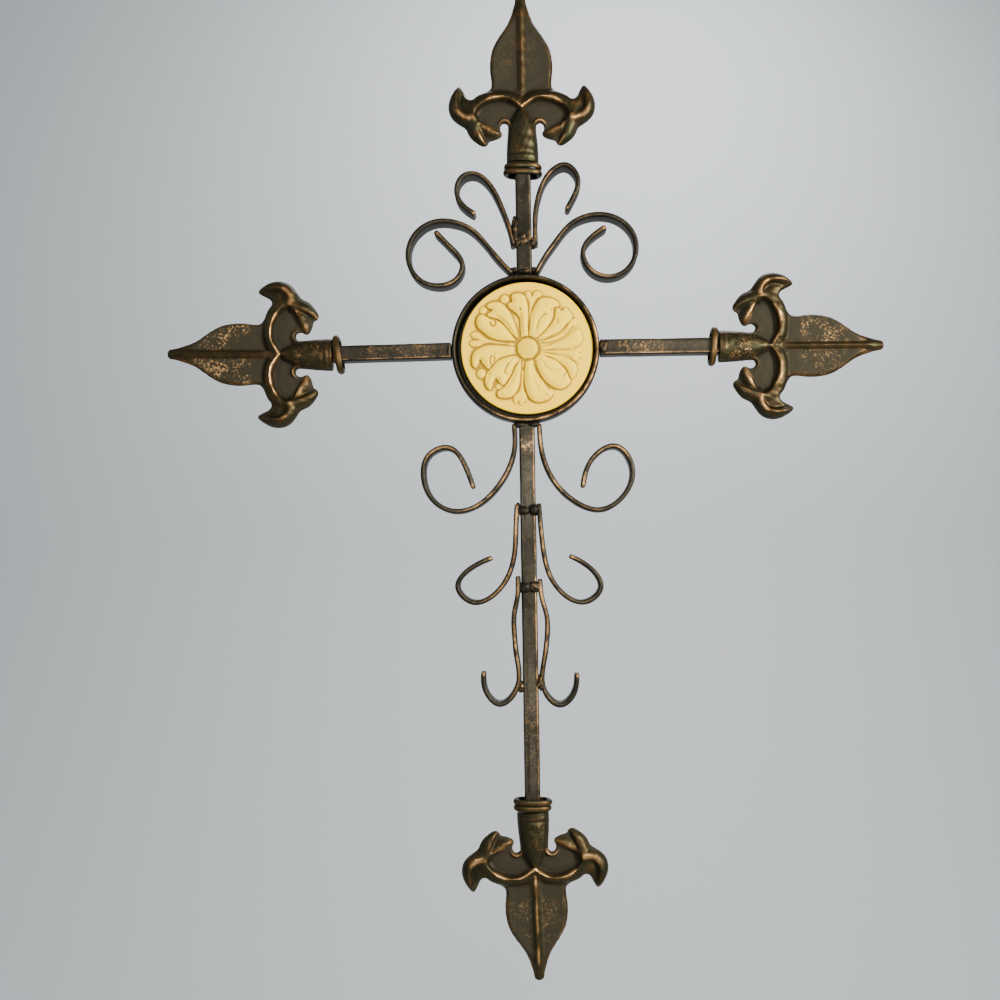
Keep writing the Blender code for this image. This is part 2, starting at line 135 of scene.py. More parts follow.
def spline(knots, steps):
    """Points on the natural cubic spline through the knots, close together where it turns.

    The first two columns are the place, and any others are carried along. The bend at each knot comes
    from the usual equations, in which slope and bend match where two spans meet.
    """
    knots = np.asarray(knots, float)
    chord = np.linalg.norm(np.diff(knots[:, :2], axis=0), axis=1)
    stations = np.concatenate([[0], np.cumsum(chord)])
    count = len(knots)
    system = np.eye(count)
    right = np.zeros((count, knots.shape[1]))
    for k in range(1, count - 1):
        system[k, k - 1:k + 2] = chord[k - 1], 2 * (chord[k - 1] + chord[k]), chord[k]
        right[k] = 6 * ((knots[k + 1] - knots[k]) / chord[k] - (knots[k] - knots[k - 1]) / chord[k - 1])
    bend = np.linalg.solve(system, right)

    def at(where):
        """Points at these distances along the chords: a straight mix of two knots plus their bends."""
        k = np.clip(np.searchsorted(stations, where, side="right") - 1, 0, count - 2)
        span = chord[k][:, None]
        a = (stations[k + 1] - where)[:, None] / span
        b = 1 - a
        return (a * knots[k] + b * knots[k + 1]
                + ((a ** 3 - a) * bend[k] + (b ** 3 - b) * bend[k + 1]) * span ** 2 / 6)

    fine = np.linspace(0, stations[-1], 900)
    step = np.diff(at(fine)[:, :2], axis=0)
    length = np.linalg.norm(step, axis=1)
    heading = np.unwrap(np.arctan2(step[:, 1], step[:, 0]))
    turn = np.abs(np.diff(heading, prepend=heading[0]))
    effort = np.concatenate([[0], np.cumsum(length / length.sum() + 0.8 * turn / (turn.sum() + 1e-9))])
    return at(np.interp(np.linspace(0, effort[-1], steps), effort, fine))


def polyline(knots, step):
    """Straight lines through the knots, cut into pieces no longer than step, with all their columns."""
    knots = np.asarray(knots, float)
    pieces = []
    for a, b in zip(knots[:-1], knots[1:]):
        count = max(1, int(math.ceil(np.linalg.norm((b - a)[:2]) / step)))
        pieces.append(a + (b - a) * np.arange(count)[:, None] / count)
    return np.concatenate(pieces + [knots[-1:]])


# Grid points compared with a path at a time
BLOCK = 20000


def beside(path, x, y):
    """Distance of each grid point from a path, its side (left is positive), and the path's values there."""
    flat = np.stack([x.ravel(), y.ravel()], 1)
    heading = np.gradient(path[:, :2], axis=0)
    nearest = np.empty(len(flat), int)
    for start in range(0, len(flat), BLOCK):
        part = flat[start:start + BLOCK]
        gap = (part[:, None, 0] - path[None, :, 0]) ** 2 + (part[:, None, 1] - path[None, :, 1]) ** 2
        nearest[start:start + BLOCK] = gap.argmin(1)
    off = flat - path[nearest, :2]
    side = heading[nearest, 0] * off[:, 1] - heading[nearest, 1] * off[:, 0]
    side = np.where(side < 0, -1.0, 1.0)
    distance = np.hypot(off[:, 0], off[:, 1])
    return distance.reshape(x.shape), side.reshape(x.shape), path[nearest].reshape(*x.shape, -1)


def enclosed(outline, x, y):
    """Which grid points an outline goes round, counted from how often a line straight up crosses it."""
    inside = np.zeros(x.shape, bool)
    for (x0, y0), (x1, y1) in zip(outline[:-1], outline[1:]):
        if x0 != x1:
            level = y0 + (y1 - y0) * (x - x0) / (x1 - x0)
            inside ^= (x > min(x0, x1)) & (x <= max(x0, x1)) & (y < level)
    return inside


def in_box(path, x, y, margin):
    """Which grid points lie in the upright box round a path, widened by the margin."""
    low, high = path.min(0) - margin, path.max(0) + margin
    return (x > low[0]) & (x < high[0]) & (y > low[1]) & (y < high[1])


# Making meshes

def new_piece(name, points, quads, fans=(), **values):
    """A mesh object from points in millimetres, four-cornered faces and three-cornered ones.

    Each of the values is kept at every point under its own name, for the materials.
    """
    mesh = bpy.data.meshes.new(name)
    points = np.asarray(points, np.float32) * 0.001
    quads = np.asarray(quads, np.int32).reshape(-1, 4)
    fans = np.asarray(fans, np.int32).reshape(-1, 3)
    mesh.vertices.add(len(points))
    mesh.vertices.foreach_set("co", points.ravel())
    mesh.loops.add(quads.size + fans.size)
    mesh.loops.foreach_set("vertex_index", np.concatenate([quads.ravel(), fans.ravel()]))
    mesh.polygons.add(len(quads) + len(fans))
    starts = np.concatenate([np.arange(len(quads)) * 4, quads.size + np.arange(len(fans)) * 3])
    mesh.polygons.foreach_set("loop_start", starts.astype(np.int32))
    mesh.update(calc_edges=True)
    mesh.validate()
    mesh.shade_smooth()
    for key, value in values.items():
        layer = mesh.attributes.new(key, "FLOAT", "POINT")
        layer.data.foreach_set("value", np.asarray(value, np.float32).ravel())
    item = bpy.data.objects.new(name, mesh)
    bpy.context.scene.collection.objects.link(item)
    return item


def sleeve(name, rings, loop=False, **values):
    """Skin over rings of points, numbered by ring, by point round it, and by x, y, z.

    Four-cornered faces join each ring to the next. A loop's last ring joins its first, and otherwise
    each end is closed by a fan to the ring's middle. The faces are flipped if they face inwards.
    """
    count, around, _ = rings.shape
    index = np.arange(count * around).reshape(count, around)
    below, above = (index, np.roll(index, -1, 0)) if loop else (index[:-1], index[1:])
    quads = np.stack([below, np.roll(below, -1, 1), np.roll(above, -1, 1), above], -1).reshape(-1, 4)
    points = rings.reshape(-1, 3)
    values = {key: np.broadcast_to(value, (count, around)).ravel() for key, value in values.items()}
    fans = np.zeros((0, 3), int)
    if not loop:
        points = np.concatenate([points, rings[:1].mean(1), rings[-1:].mean(1)])
        values = {key: np.append(value, [value[0], value[-1]]) for key, value in values.items()}
        first, last = index[0], index[-1]
        tail, head = count * around, count * around + 1
        fans = np.concatenate([
            np.stack([np.roll(first, -1), first, np.full(around, tail)], 1),
            np.stack([last, np.roll(last, -1), np.full(around, head)], 1)])
    corners = points[quads]
    normal = np.cross(corners[:, 2] - corners[:, 0], corners[:, 3] - corners[:, 1])
    inside_out = (corners.mean(1) * normal).sum() < 0
    if inside_out:
        quads, fans = quads[:, ::-1], fans[:, ::-1]
    return new_piece(name, points, quads, fans, **values)


def place(points, side, distance, tilt=0.0):
    """Points about an arm's own +Z axis: turned about Y to its heading, and moved out along the arm."""
    turn = math.radians(TURN[side])
    full = turn + math.radians(tilt)
    x, y, z = points[..., 0], points[..., 1], points[..., 2]
    return np.stack([x * math.cos(full) + z * math.sin(full) + distance * math.sin(turn), y + AXIS_Y,
                     -x * math.sin(full) + z * math.cos(full) + distance * math.cos(turn)], -1)


def rounded_section(width, depth, radius):
    """Outline of an oblong with rounded corners: a quarter circle of points about each corner's centre."""
    angle = np.radians(np.linspace(0, 90, 6))
    corners = []
    for k, (sx, sy) in enumerate(((1, 1), (-1, 1), (-1, -1), (1, -1))):
        turned = angle + k * math.pi / 2
        corners.append(np.stack([sx * (width / 2 - radius) + radius * np.cos(turned),
                                 sy * (depth / 2 - radius) + radius * np.sin(turned)], 1))
    return np.concatenate(corners)


# Bars

# Distances between a bar's points, along it and round it
BAR_STEP = 0.9
BAR_STEP_ROUND = 1.2
# Each bar: the long edge of its front that is rubbed brighter, partly a painted highlight on the edge
# that catches the light (1 for the arm's own +X side), how bright its edges are, how strong its streaks
# are, and its worn places, each with its distance from the tray's middle, half length, flecks and
# paleness. The bottom bar's paleness at 61 and 80 mm also paints the sheen of light under the tray.
BAR_WEAR = {
    "top": (1, 0.65, 1.0, [(120, 12, 0.0, 0.05)]),
    "bottom": (-1, 1.0, 1.0, [(61, 4, 0.85, 0.3), (80, 13, 0.12, 0.36), (240, 34, 0.28, 0.2)]),
    "left": (-1, 1.0, 1.0, [(80, 26, 0.28, 0.1)]),
    "right": (1, 1.0, 0.3, [(70, 16, 0.5, 0.0)]),
}


def bar_end(side):
    """Distance from the tray's middle at which a bar ends: a gap short of its leaning casting's mouth."""
    dip = SOCKET_HALF_WIDTH * math.sin(math.radians(abs(LEAN[side])))
    return REACH[side] - LENGTH[side] - GAP - dip


def bar(side):
    """Square bar: a rounded square carried along its arm, swollen by slow waves and dented inwards.

    "over" is 0 on the corners, above 0 on the front and back and below 0 on the sides: bright lines run
    just inside the front's long edges, rubbed metal and a painted highlight, the sides are darkened as
    painted shade, and the flecks keep to the front.
    """
    bright, shine, streaks, worn_places = BAR_WEAR[side]
    start, end = TRAY_RADIUS + GAP, bar_end(side)
    corners = rounded_section(BAR, BAR, BAR_CORNER)
    outline = polyline(np.concatenate([corners, corners[:1]]), BAR_STEP_ROUND)[:-1]
    across, deep = outline[:, 0], outline[:, 1]
    along = np.linspace(start, end, int((end - start) / BAR_STEP))
    swell = 1 + 0.012 * wander(along, 0, 5, 37)[:, None]
    dent = np.minimum(0.10 * wander(along[:, None], np.arange(len(outline))[None] * 1.7, 9, 14), 0)
    outward = outline[None] / np.linalg.norm(outline, axis=1)[None, :, None]
    shape = outline[None] * swell[..., None] + outward * dent[..., None]
    rings = np.concatenate([shape, np.broadcast_to(along[:, None, None], (*shape.shape[:2], 1))], -1)

    over = np.abs(deep) - np.abs(across)
    # Rubbed metal along the front's edges, partly a painted highlight, brighter on the edge that catches the
    # light
    rub = glow(over - 0.9, 0.6) * (0.45 + 0.55 * ease(-1, 1, across * bright)) * shine
    # Painted shade: the bar's sides are darkened
    hollow = 0.55 * ease(0.3, -0.3, over)
    streak = np.clip(0.5 + 0.9 * wander(across * 3, deep * 3, 17, 11), 0, 1) * streaks
    front = ease(0.4, 1.4, over) * (deep < 0)
    fleck = sum(flecks * glow(along - middle, half) for middle, half, flecks, _ in worn_places)
    # On the bottom bar the paleness near the tray also paints the sheen of light there
    pale = sum(paleness * glow(along - middle, half) for middle, half, _, paleness in worn_places)
    item = sleeve("bar_" + side, place(rings, side, 0.0), rub=rub[None], streak=streak[None],
                  hollow=hollow[None], fleck=fleck[:, None] * front[None], pale=pale[:, None] * front[None])
    return item, BAR_OF[side]


# Scrolls

# Each scroll: its side, the distance of its foot from the upright's axis and its height, then the knots
# of its centreline from that foot (outwards, up)
SCROLLS = {
    "crown_left": ((-1, 6.9, 65.5), [
        (0, 0), (0.9, 6), (3.5, 15), (8.3, 27.5), (16, 40.5), (24, 45.5), (31, 44), (35.3, 35), (32.2, 26.5),
        (24, 20)]),
    "crown_right": ((1, 6.9, 66), [
        (0.4, 0), (0.3, 9), (0.9, 21), (4, 34), (10, 44.5), (20.5, 49.7), (27.9, 41), (25, 29.5),
        (20.5, 21.5)]),
    "shoulder_left": ((-1, 7.8, 47.5), [
        (0, 0), (8.6, 9.2), (15, 17.2), (25.2, 28), (36, 32.9), (50, 33), (61.5, 25), (65.8, 12),
        (58.8, -3.1), (46.9, -7.1), (35, -2.8), (31.5, 6.6), (37.7, 16.1), (48.2, 27.1)]),
    "shoulder_right": ((1, 7.4, 47.7), [
        (0, 0), (6.5, 11), (13, 19.8), (22.8, 30.7), (35, 35.8), (50, 34.5), (61.5, 24.5), (63.5, 12),
        (57.5, 1), (45, -3.3), (33, 3.2), (30, 13), (44.5, 28.3)]),
    "hip_left": ((-1, 8, -48.0), [
        (0, 0), (0, -15), (4.5, -29.5), (13, -42), (24.5, -51.5), (39.5, -54.5), (52.5, -47), (58, -33),
        (54.5, -19), (41, -14.5), (31.5, -26), (26.5, -40)]),
    "hip_right": ((1, 8, -48.2), [
        (0, 0), (1.5, -18.3), (8.5, -35.8), (21, -48.8), (38, -54.8), (53.5, -45.3), (58.5, -28.3),
        (48.5, -14.8), (33, -22.8), (27, -40.3)]),
    "knee_left": ((-1, 6.9, -99), [
        (0, 0), (1, -15), (2, -30), (6, -44.5), (15, -56.5), (29, -61.5), (38.5, -51.5), (30, -40),
        (16.5, -33.5)]),
    "knee_right": ((1, 6.9, -98.5), [
        (0, 0), (1, -15), (2.5, -30), (6, -45), (14.5, -57.5), (28, -63), (38.5, -54), (32, -41.5),
        (19, -33.5)]),
    "foot_left": ((-1, 6.9, -144.5), [
        (0.2, 0), (0.6, -12.5), (3, -24.5), (3, -37), (2, -49.5), (0.5, -62), (3.5, -74), (13, -81),
        (21.5, -73), (23, -60.5)]),
    "foot_right": ((1, 6.9, -146.5), [
        (0, 0), (1, -12), (4, -24), (4, -36.5), (2.5, -48.5), (0.5, -60.5), (2.5, -72.5), (12, -80),
        (20.5, -72.5), (22.5, -60.5)]),
}
# How bright the scrolls' front edges are, over the crossbar and under it: rubbed metal with a painted
# highlight line
SHINE_OVER = 0.66
SHINE_UNDER = 0.76


def scroll(name):
    """Flat strip on edge: a thin rounded oblong carried along the scroll's centreline, its ends eased.

    The strip's front edge is rubbed by a share that wanders along it, and leans from one of its corners
    to the other: partly rubbed metal, partly a painted highlight line. Its back edge is rubbed a little,
    and its curled tip more.
    """
    (side, foot_x, foot_z), knots = SCROLLS[name]
    line = spline(knots, 170) + (foot_x, foot_z)
    line[:, 0] *= side
    heading = np.gradient(line, axis=0)
    heading /= np.linalg.norm(heading, axis=1)[:, None]
    normal = np.stack([heading[:, 1], -heading[:, 0]], 1)
    outline = rounded_section(*STRIP, STRIP_CORNER)
    travelled = np.concatenate([[0], np.cumsum(np.linalg.norm(np.diff(line, axis=0), axis=1))])
    to_tip = travelled[-1] - travelled
    at_end = np.clip(1 - np.minimum(travelled, to_tip) / 0.8, 0, 1) ** 2
    thick = (1 - 0.25 * at_end) * (1 + 0.05 * wander(travelled, 0, len(name), 22))
    across = outline[None, :, 0] * thick[:, None]
    deep = outline[None, :, 1] * (1 - 0.04 * at_end)[:, None]
    rings = np.stack([line[:, None, 0] + normal[:, None, 0] * across, AXIS_Y + deep,
                      line[:, None, 1] + normal[:, None, 1] * across], -1)

    worn = ease(5.55, 6.0, -outline[:, 1]) + 0.35 * ease(5.4, 5.95, outline[:, 1])
    share = (SHINE_OVER if foot_z > 0 else SHINE_UNDER) + 0.2 * wander(travelled, 0, 31, 60)[:, None]
    lean = np.clip(0.35 + 0.8 * wander(travelled, 0, len(name) + 3, 70), -0.3, 1)[:, None]
    tip = np.clip(1 - to_tip / 3, 0, 1)[:, None]
    corner = outline[None, :, 0] / (STRIP[0] / 2)
    # Rub on the front edge: rubbed metal with a painted highlight line
    rub = np.clip(worn[None] * (share + 0.42 * lean * corner - 0.08) + tip * 0.6, 0, 1)
    return sleeve("strip_" + name, rings, rub=rub), "scroll_" + name


# Collars

# Each collar: thickness of its wire, how many turns, tilt in degrees
COLLARS = {"top": (3.7, 2, 3.0), "bottom": (3.7, 2, 3.0), "left": (4.2, 1, -6.0), "right": (4.2, 1, 6.0)}
# Half sizes, sideways and front to back, of the ovals outside and inside the wire
COLLAR_OUTER = (12.5, 7.3)
COLLAR_INNER = (8.6, 5.25)
# How much smaller the second turn is
SECOND_TURN = 0.35


def superellipse(angle, a, b, power):
    """Radius at an angle of the oval |x/a|^power + |y/b|^power = 1."""
    return (np.abs(np.cos(angle) / a) ** power + np.abs(np.sin(angle) / b) ** power) ** (-1 / power)


def collar(side):
    """Turns of wire round the bar's end: an oval section carried round a flat oval path.

    The section fills the space between an outer and an inner oval, so the wire is flatter where it
    passes in front of the bar and behind it, and each turn rises and falls in one slow wave.
    """
    wire, turns, tilt = COLLARS[side]
    slope = math.radians(abs(tilt))
    half = turns * wire / 2 * math.cos(slope) + (COLLAR_OUTER[0] - wire / 2) * math.sin(slope)
    around = np.linspace(0, math.tau, 40, endpoint=False)
    path = np.linspace(0, math.tau, 120, endpoint=False)
    rub = np.clip(np.cos(around), 0, 1)[None] ** 3 * (0.45 if turns == 1 else 0.35)
    shade = np.clip(-np.cos(around)[None], 0, 1)
    pieces = []
    for k in range(turns):
        less = SECOND_TURN * k
        outer = superellipse(path, COLLAR_OUTER[0] - less, COLLAR_OUTER[1] - less * 0.3, 2.3)
        inner = superellipse(path, COLLAR_INNER[0] - less, COLLAR_INNER[1], 4.2)
        middle, thick = (outer + inner) / 2, (outer - inner) / 2
        lift = -wire * (turns - 1) / 2 + wire * k + 0.25 * np.sin(path + 0.6 + k)
        radius = middle[:, None] + thick[:, None] * np.cos(around)[None]
        height = lift[:, None] + wire / 2 * np.sin(around)[None]
        rings = np.stack([radius * np.cos(path)[:, None], radius * np.sin(path)[:, None], height], -1)
        name = "ring_%s_%d" % (side, k + 1) if turns > 1 else "ring_" + side
        rings = place(rings, side, bar_end(side) - half, tilt)
        pieces.append(sleeve(name, rings, loop=True, rub=rub, shade=shade))
    return pieces, "collar_" + side


# Finial castings

# Half outline, from the tip to the socket: distance from the tip, distance from the axis
BLADE_EDGE = [
    (0, 0), (0.25, 1.5), (1.4, 2.8), (4, 3.4), (8, 4.4), (11.5, 5.5), (16, 7.2), (20.7, 9.9), (25.5, 13.3),
    (30.3, 16.3), (35, 18.4), (40, 19.5), (46, 20.0), (51, 19.7), (56, 19.2), (58.8, 19.4)]
ARM_EDGE = [
    (58.8, 19.4), (60.3, 20.7), (61.7, 23), (63, 26.2), (65, 29.5), (66.5, 31.6), (66.5, 33.2), (65.4, 34.8),
    (63, 36.3), (60, 37.8), (57.9, 39.7), (59.2, 41.9), (62.2, 44), (66, 45.9), (70.5, 46.8), (75, 46.2),
    (79, 44), (81.5, 41), (83.4, 38.2), (85.2, 36), (88.7, 34.2), (92.2, 31.6), (94.8, 28.2), (96.4, 24.4),
    (95.6, 22.4), (93.7, 21.2), (92.7, 18.5), (91.5, 15.1), (90, 13.2), (88.4, 12.8), (86.4, 13.7),
    (83.8, 13.7), (82.3, 12.5), (82.1, 10.7), (83.4, 9.0)]
SOCKET_EDGE = [(83.4, 9.0), (86, 9.0), (90, 9.3), (95, 9.8), (101, 10.1), (120, 10.2)]
# Blade's half width where it fades into the body: distance from the tip, half width
BLADE_FADE = [(66, 17.5), (74, 12)]
# Socket's half width and half depth: distance from the tip, size
SOCKET_HALF = [(70, 0.4), (72, 1.0), (74, 2.8), (76, 4.3), (79, 5.9), (82, 7.3), (84, 8.7), (95, 9.8),
               (120, 10.2)]
SOCKET_DEEP = [(71, 2.4), (73, 4.2), (76, 5.3), (80, 6.2), (85, 6.7), (92, 6.9), (120, 7.0)]

# Crests of the casting: distance from the tip, distance from the axis, width of the rounded side, width of
# the steep side, height
RIM = [
    (73.6, -2, 6.4, 2.2, 4.4), (72, 0.4, 6.6, 2.2, 4.9), (70.3, 3, 6.4, 2.3, 5.5),
    (68.8, 5.5, 6.1, 2.5, 6.0), (67.3, 8.6, 5.9, 2.6, 6.3), (66.7, 12, 5.7, 2.7, 6.5),
    (66.8, 16, 5.9, 2.7, 6.5), (67.7, 20, 6.6, 2.7, 6.4), (69.3, 23.5, 7.6, 2.6, 6.2),
    (71.2, 26.6, 8.4, 2.6, 5.9), (73.8, 29.3, 9, 2.8, 5.8), (77, 30.6, 8, 3.0, 5.9),
    (80.2, 29.6, 6, 3.0, 5.8), (82.7, 26.8, 5.4, 2.8, 5.6), (84.6, 23, 5.4, 2.5, 5.4),
    (86.6, 19, 5.4, 2.2, 5.1), (88.3, 15.6, 3.6, 1.8, 4.3), (89, 13.6, 1.6, 1.0, 2.8)]
HORN = [
    (79.0, 30.6, 4.4, 3.4, 5.8), (79.3, 33.4, 5.0, 4.4, 6.5), (78.4, 36.8, 5.3, 4.6, 6.8),
    (76.2, 39.6, 5.4, 4.6, 6.8), (73, 41.2, 5.4, 4.0, 6.8), (69, 41.7, 5.1, 4.4, 6.5),
    (65, 41.3, 4.6, 4.2, 5.8), (61.5, 40.6, 3.2, 2.8, 4.6), (59, 39.9, 1.6, 1.6, 2.6)]
OUTER_LOBE = [
    (79, 30.8, 5.2, 3.0, 6.0), (83, 29.9, 5.6, 3.6, 5.9), (87, 28.5, 5.5, 4.0, 5.6),
    (91, 26.6, 4.6, 3.6, 5.0), (94, 24.6, 2.8, 1.8, 3.9), (95.6, 23.2, 1.2, 1.0, 2.2)]
LIP = [
    (82.4, 14.6, 1.1, 1.1, 2.6), (80.8, 12.8, 1.4, 1.3, 3.5), (80.6, 10.4, 1.4, 1.3, 3.9),
    (81.9, 8.6, 1.3, 1.2, 4.1), (84.4, 7.9, 1.2, 1.2, 4.2)]
# Groove on the inner side of each outer lobe: distance from the tip, distance from the axis
VALLEY = [(84.2, 27.2), (88, 25.2), (91.5, 23.2), (94, 21.6)]
# Low swelling between each horn and the rim: distance from the tip, distance from the axis, radius, height
SHOULDER = (71.8, 34.2, 9.0, 5.1)
# Greatest and least half thickness of a casting away from its outline
THICKEST = 7.25
THINNEST = 0.6
# Size of the grid's cells, and its half width
CASTING_CELL = 0.42
CASTING_GRID = 49
# How much of each casting's speckle shows
FLECKS = {"top": 0.07, "bottom": 0.2, "left": 0.9, "right": 0.6}
# How far each blade's midrib is a plain roof ridge rather than a thin rib between grooves
ROOFS = {"top": 0.5, "bottom": 1.0, "left": 0.0, "right": 0.0}


def ridge(knots, x, y, steep):
    """Height of a crest: a quarter oval on one side, a quick S on its steep side; and the distance to it."""
    distance, side, here = beside(spline(knots, 200), x, y)
    rounded = dome(distance / here[..., 2])
    fall = 1 - ease(0, 1, distance / here[..., 3])
    return here[..., 4] * np.where(side == steep, fall, rounded), distance


def casting_heights(length, cell, roof):
    """Grid of the casting's height over its middle plane, with its distance in from the outline.

    The outline is a spline from the tip round the arms to the socket. Heights are the highest of the
    blade, the crests round the hollows, the horns, the lobes, a thin web and the oval socket, softened
    where they join. The values beside them say what is rubbed (the crests, and on the arms' broad high
    crests also a painted highlight), dull (the floors and the blade's flats), speckled, and shaded (what
    lies lower than the same heights blurred).
    """
    u = np.arange(-2 * cell, length + 1e-6, cell)
    u = u - u[-1] + length
    v = np.arange(0, CASTING_GRID, cell)
    x, y = np.meshgrid(u, v, indexing="ij")
    edge = np.concatenate([spline(BLADE_EDGE, 160)[:-1], spline(ARM_EDGE, 420)[:-1],
                           polyline(SOCKET_EDGE, 0.5)])
    distance, _, _ = beside(edge, x, y)
    depth = np.where(enclosed(edge, x, y), distance, -distance)

    blade_half = np.interp(x, *np.transpose(BLADE_EDGE + BLADE_FADE))
    nose = 3.4 * dome(y / np.maximum(blade_half, 0.1))
    panel = 3.5 - 0.35 * ease(1.5, 7, depth)
    body = ease(9, 19, x)
    blade = (1 - body) * nose + body * panel * round_in(depth, 2.2)
    rib = 0.95 * dome(y / 2.0, 0.7) + 0.3 * np.clip(1 - y / 1.1, 0, 1)
    rib = ease(6, 12, x) * ((1 - roof) * rib + roof * 1.7 * np.clip(1 - y / 4.2, 0, 1))
    groove = ease(8, 14, x) * (1 - roof) * 0.6 * glow(y - 2.5, 0.7)
    blade = (blade + rib - groove) * ease(74, 66, x)

    rim, rim_line = ridge(RIM, x, y, -1)
    horn, horn_line = ridge(HORN, x, y, 1)
    outer_lobe, outer_line = ridge(OUTER_LOBE, x, y, -1)
    lip, lip_line = ridge(LIP, x, y, 1)
    rim = rim + 0.3 * glow(rim_line, 0.7) * ease(27, 22, y) * (x < 76)
    middle_x, middle_y, size, rise = SHOULDER
    shoulder = rise * dome(np.hypot(x - middle_x, y - middle_y) / size, 0.45)
    web = 2.2 * ease(62, 68, x) * ease(96, 91, x)

    socket_half = np.interp(x, *np.transpose(SOCKET_HALF))
    socket_deep = np.interp(x, *np.transpose(SOCKET_DEEP))
    socket = socket_deep * dome(y / socket_half) * (x > 70.5)
    mouth = glow(x - (length - 3.2), 0.9)
    socket = socket + (0.35 * mouth - 0.3 * glow(x - (length - 5.2), 0.8)) * (x > 84)

    height = np.maximum(blade, web)
    forms = (shoulder, 0.8), (rim, 0.3), (horn, 0.7), (outer_lobe, 0.5), (lip, 0.3), (socket, 0.5)
    for form, soft in forms:
        height = merge(height, form, soft)
    arms = 0.65 * ease(20, 26, y) * ease(80, 85, x)
    calm = 0.25 * height + 0.75 * soften(height, 0.7 / cell)
    height = calm + arms * (soften(height, 1.5 / cell) - calm)
    valley, _, _ = beside(spline(VALLEY, 60), x, y)
    height = height - 0.5 * glow(valley, 1.0)
    height = np.minimum(np.maximum(height, THINNEST), THICKEST) * round_in(depth, 1.7)

    crown = glow(horn_line, 2.2) * ease(29, 31, y) * ease(71, 76, x)
    facet = glow(rim_line, 2.6) * ease(82.5, 85, x) * ease(13, 15, y) * (rim > outer_lobe)
    # Painted highlight: broad gold patches on the arms' high crests
    broad = glow(rim_line, 2.8) * ease(13, 20, y) * ease(31, 26, y) * ease(76, 72, x) * ease(4.6, 5.4, height)
    midrib = 0.36 * (1 - roof) * glow(y - 1.2, 1.0) + 0.95 * roof ** 2 * glow(y, 1.0)
    rub = np.maximum.reduce([
        glow(rim_line, 0.85) * ease(29, 24, y) * (x < 76),
        0.85 * glow(rim_line, 0.8) * ease(81, 83, x),
        0.75 * facet,
        0.85 * crown,
        0.9 * broad,
        0.5 * glow(horn_line, 1.2) * ease(62, 66, x) * ease(76, 72, x),
        0.65 * glow(outer_line, 0.9) * ease(83, 88, x),
        0.7 * glow(lip_line, 0.9),
        0.5 * glow(depth - 1.0, 1.0) * (x < 60),
        midrib * (x < 68) * ease(8, 14, x),
        0.42 * mouth * (x > 84)])
    high = np.maximum.reduce([rim, horn, outer_lobe, lip, socket, shoulder])
    floor = soften(((high < web + 0.4) & (x > 62)).astype(float), 0.7 / cell)
    flat = ease(12, 20, x) * ease(63.5, 59.5, x) * ease(2.6, 3.4, y) * ease(1.2, 2.6, depth)
    dust = np.clip(np.maximum(floor, flat), 0, 1)
    shade = np.clip((soften(height, 2.2 / cell) - height) * 0.55, 0, 1) * (depth > 0.6)
    on_blade = (0.35 + 0.65 * ease(22, 34, x)) * ease(12, 18, x) * ease(55, 51, x) * ease(2.4, 3.4, y)
    on_socket = ease(80, 86, x) * ease(104, 98, x) * ease(9.5, 5, y)
    fleck = np.maximum(on_blade, on_socket)
    return x, y, depth, height, {"rub": rub, "dust": dust, "fleck": fleck, "shade": shade}


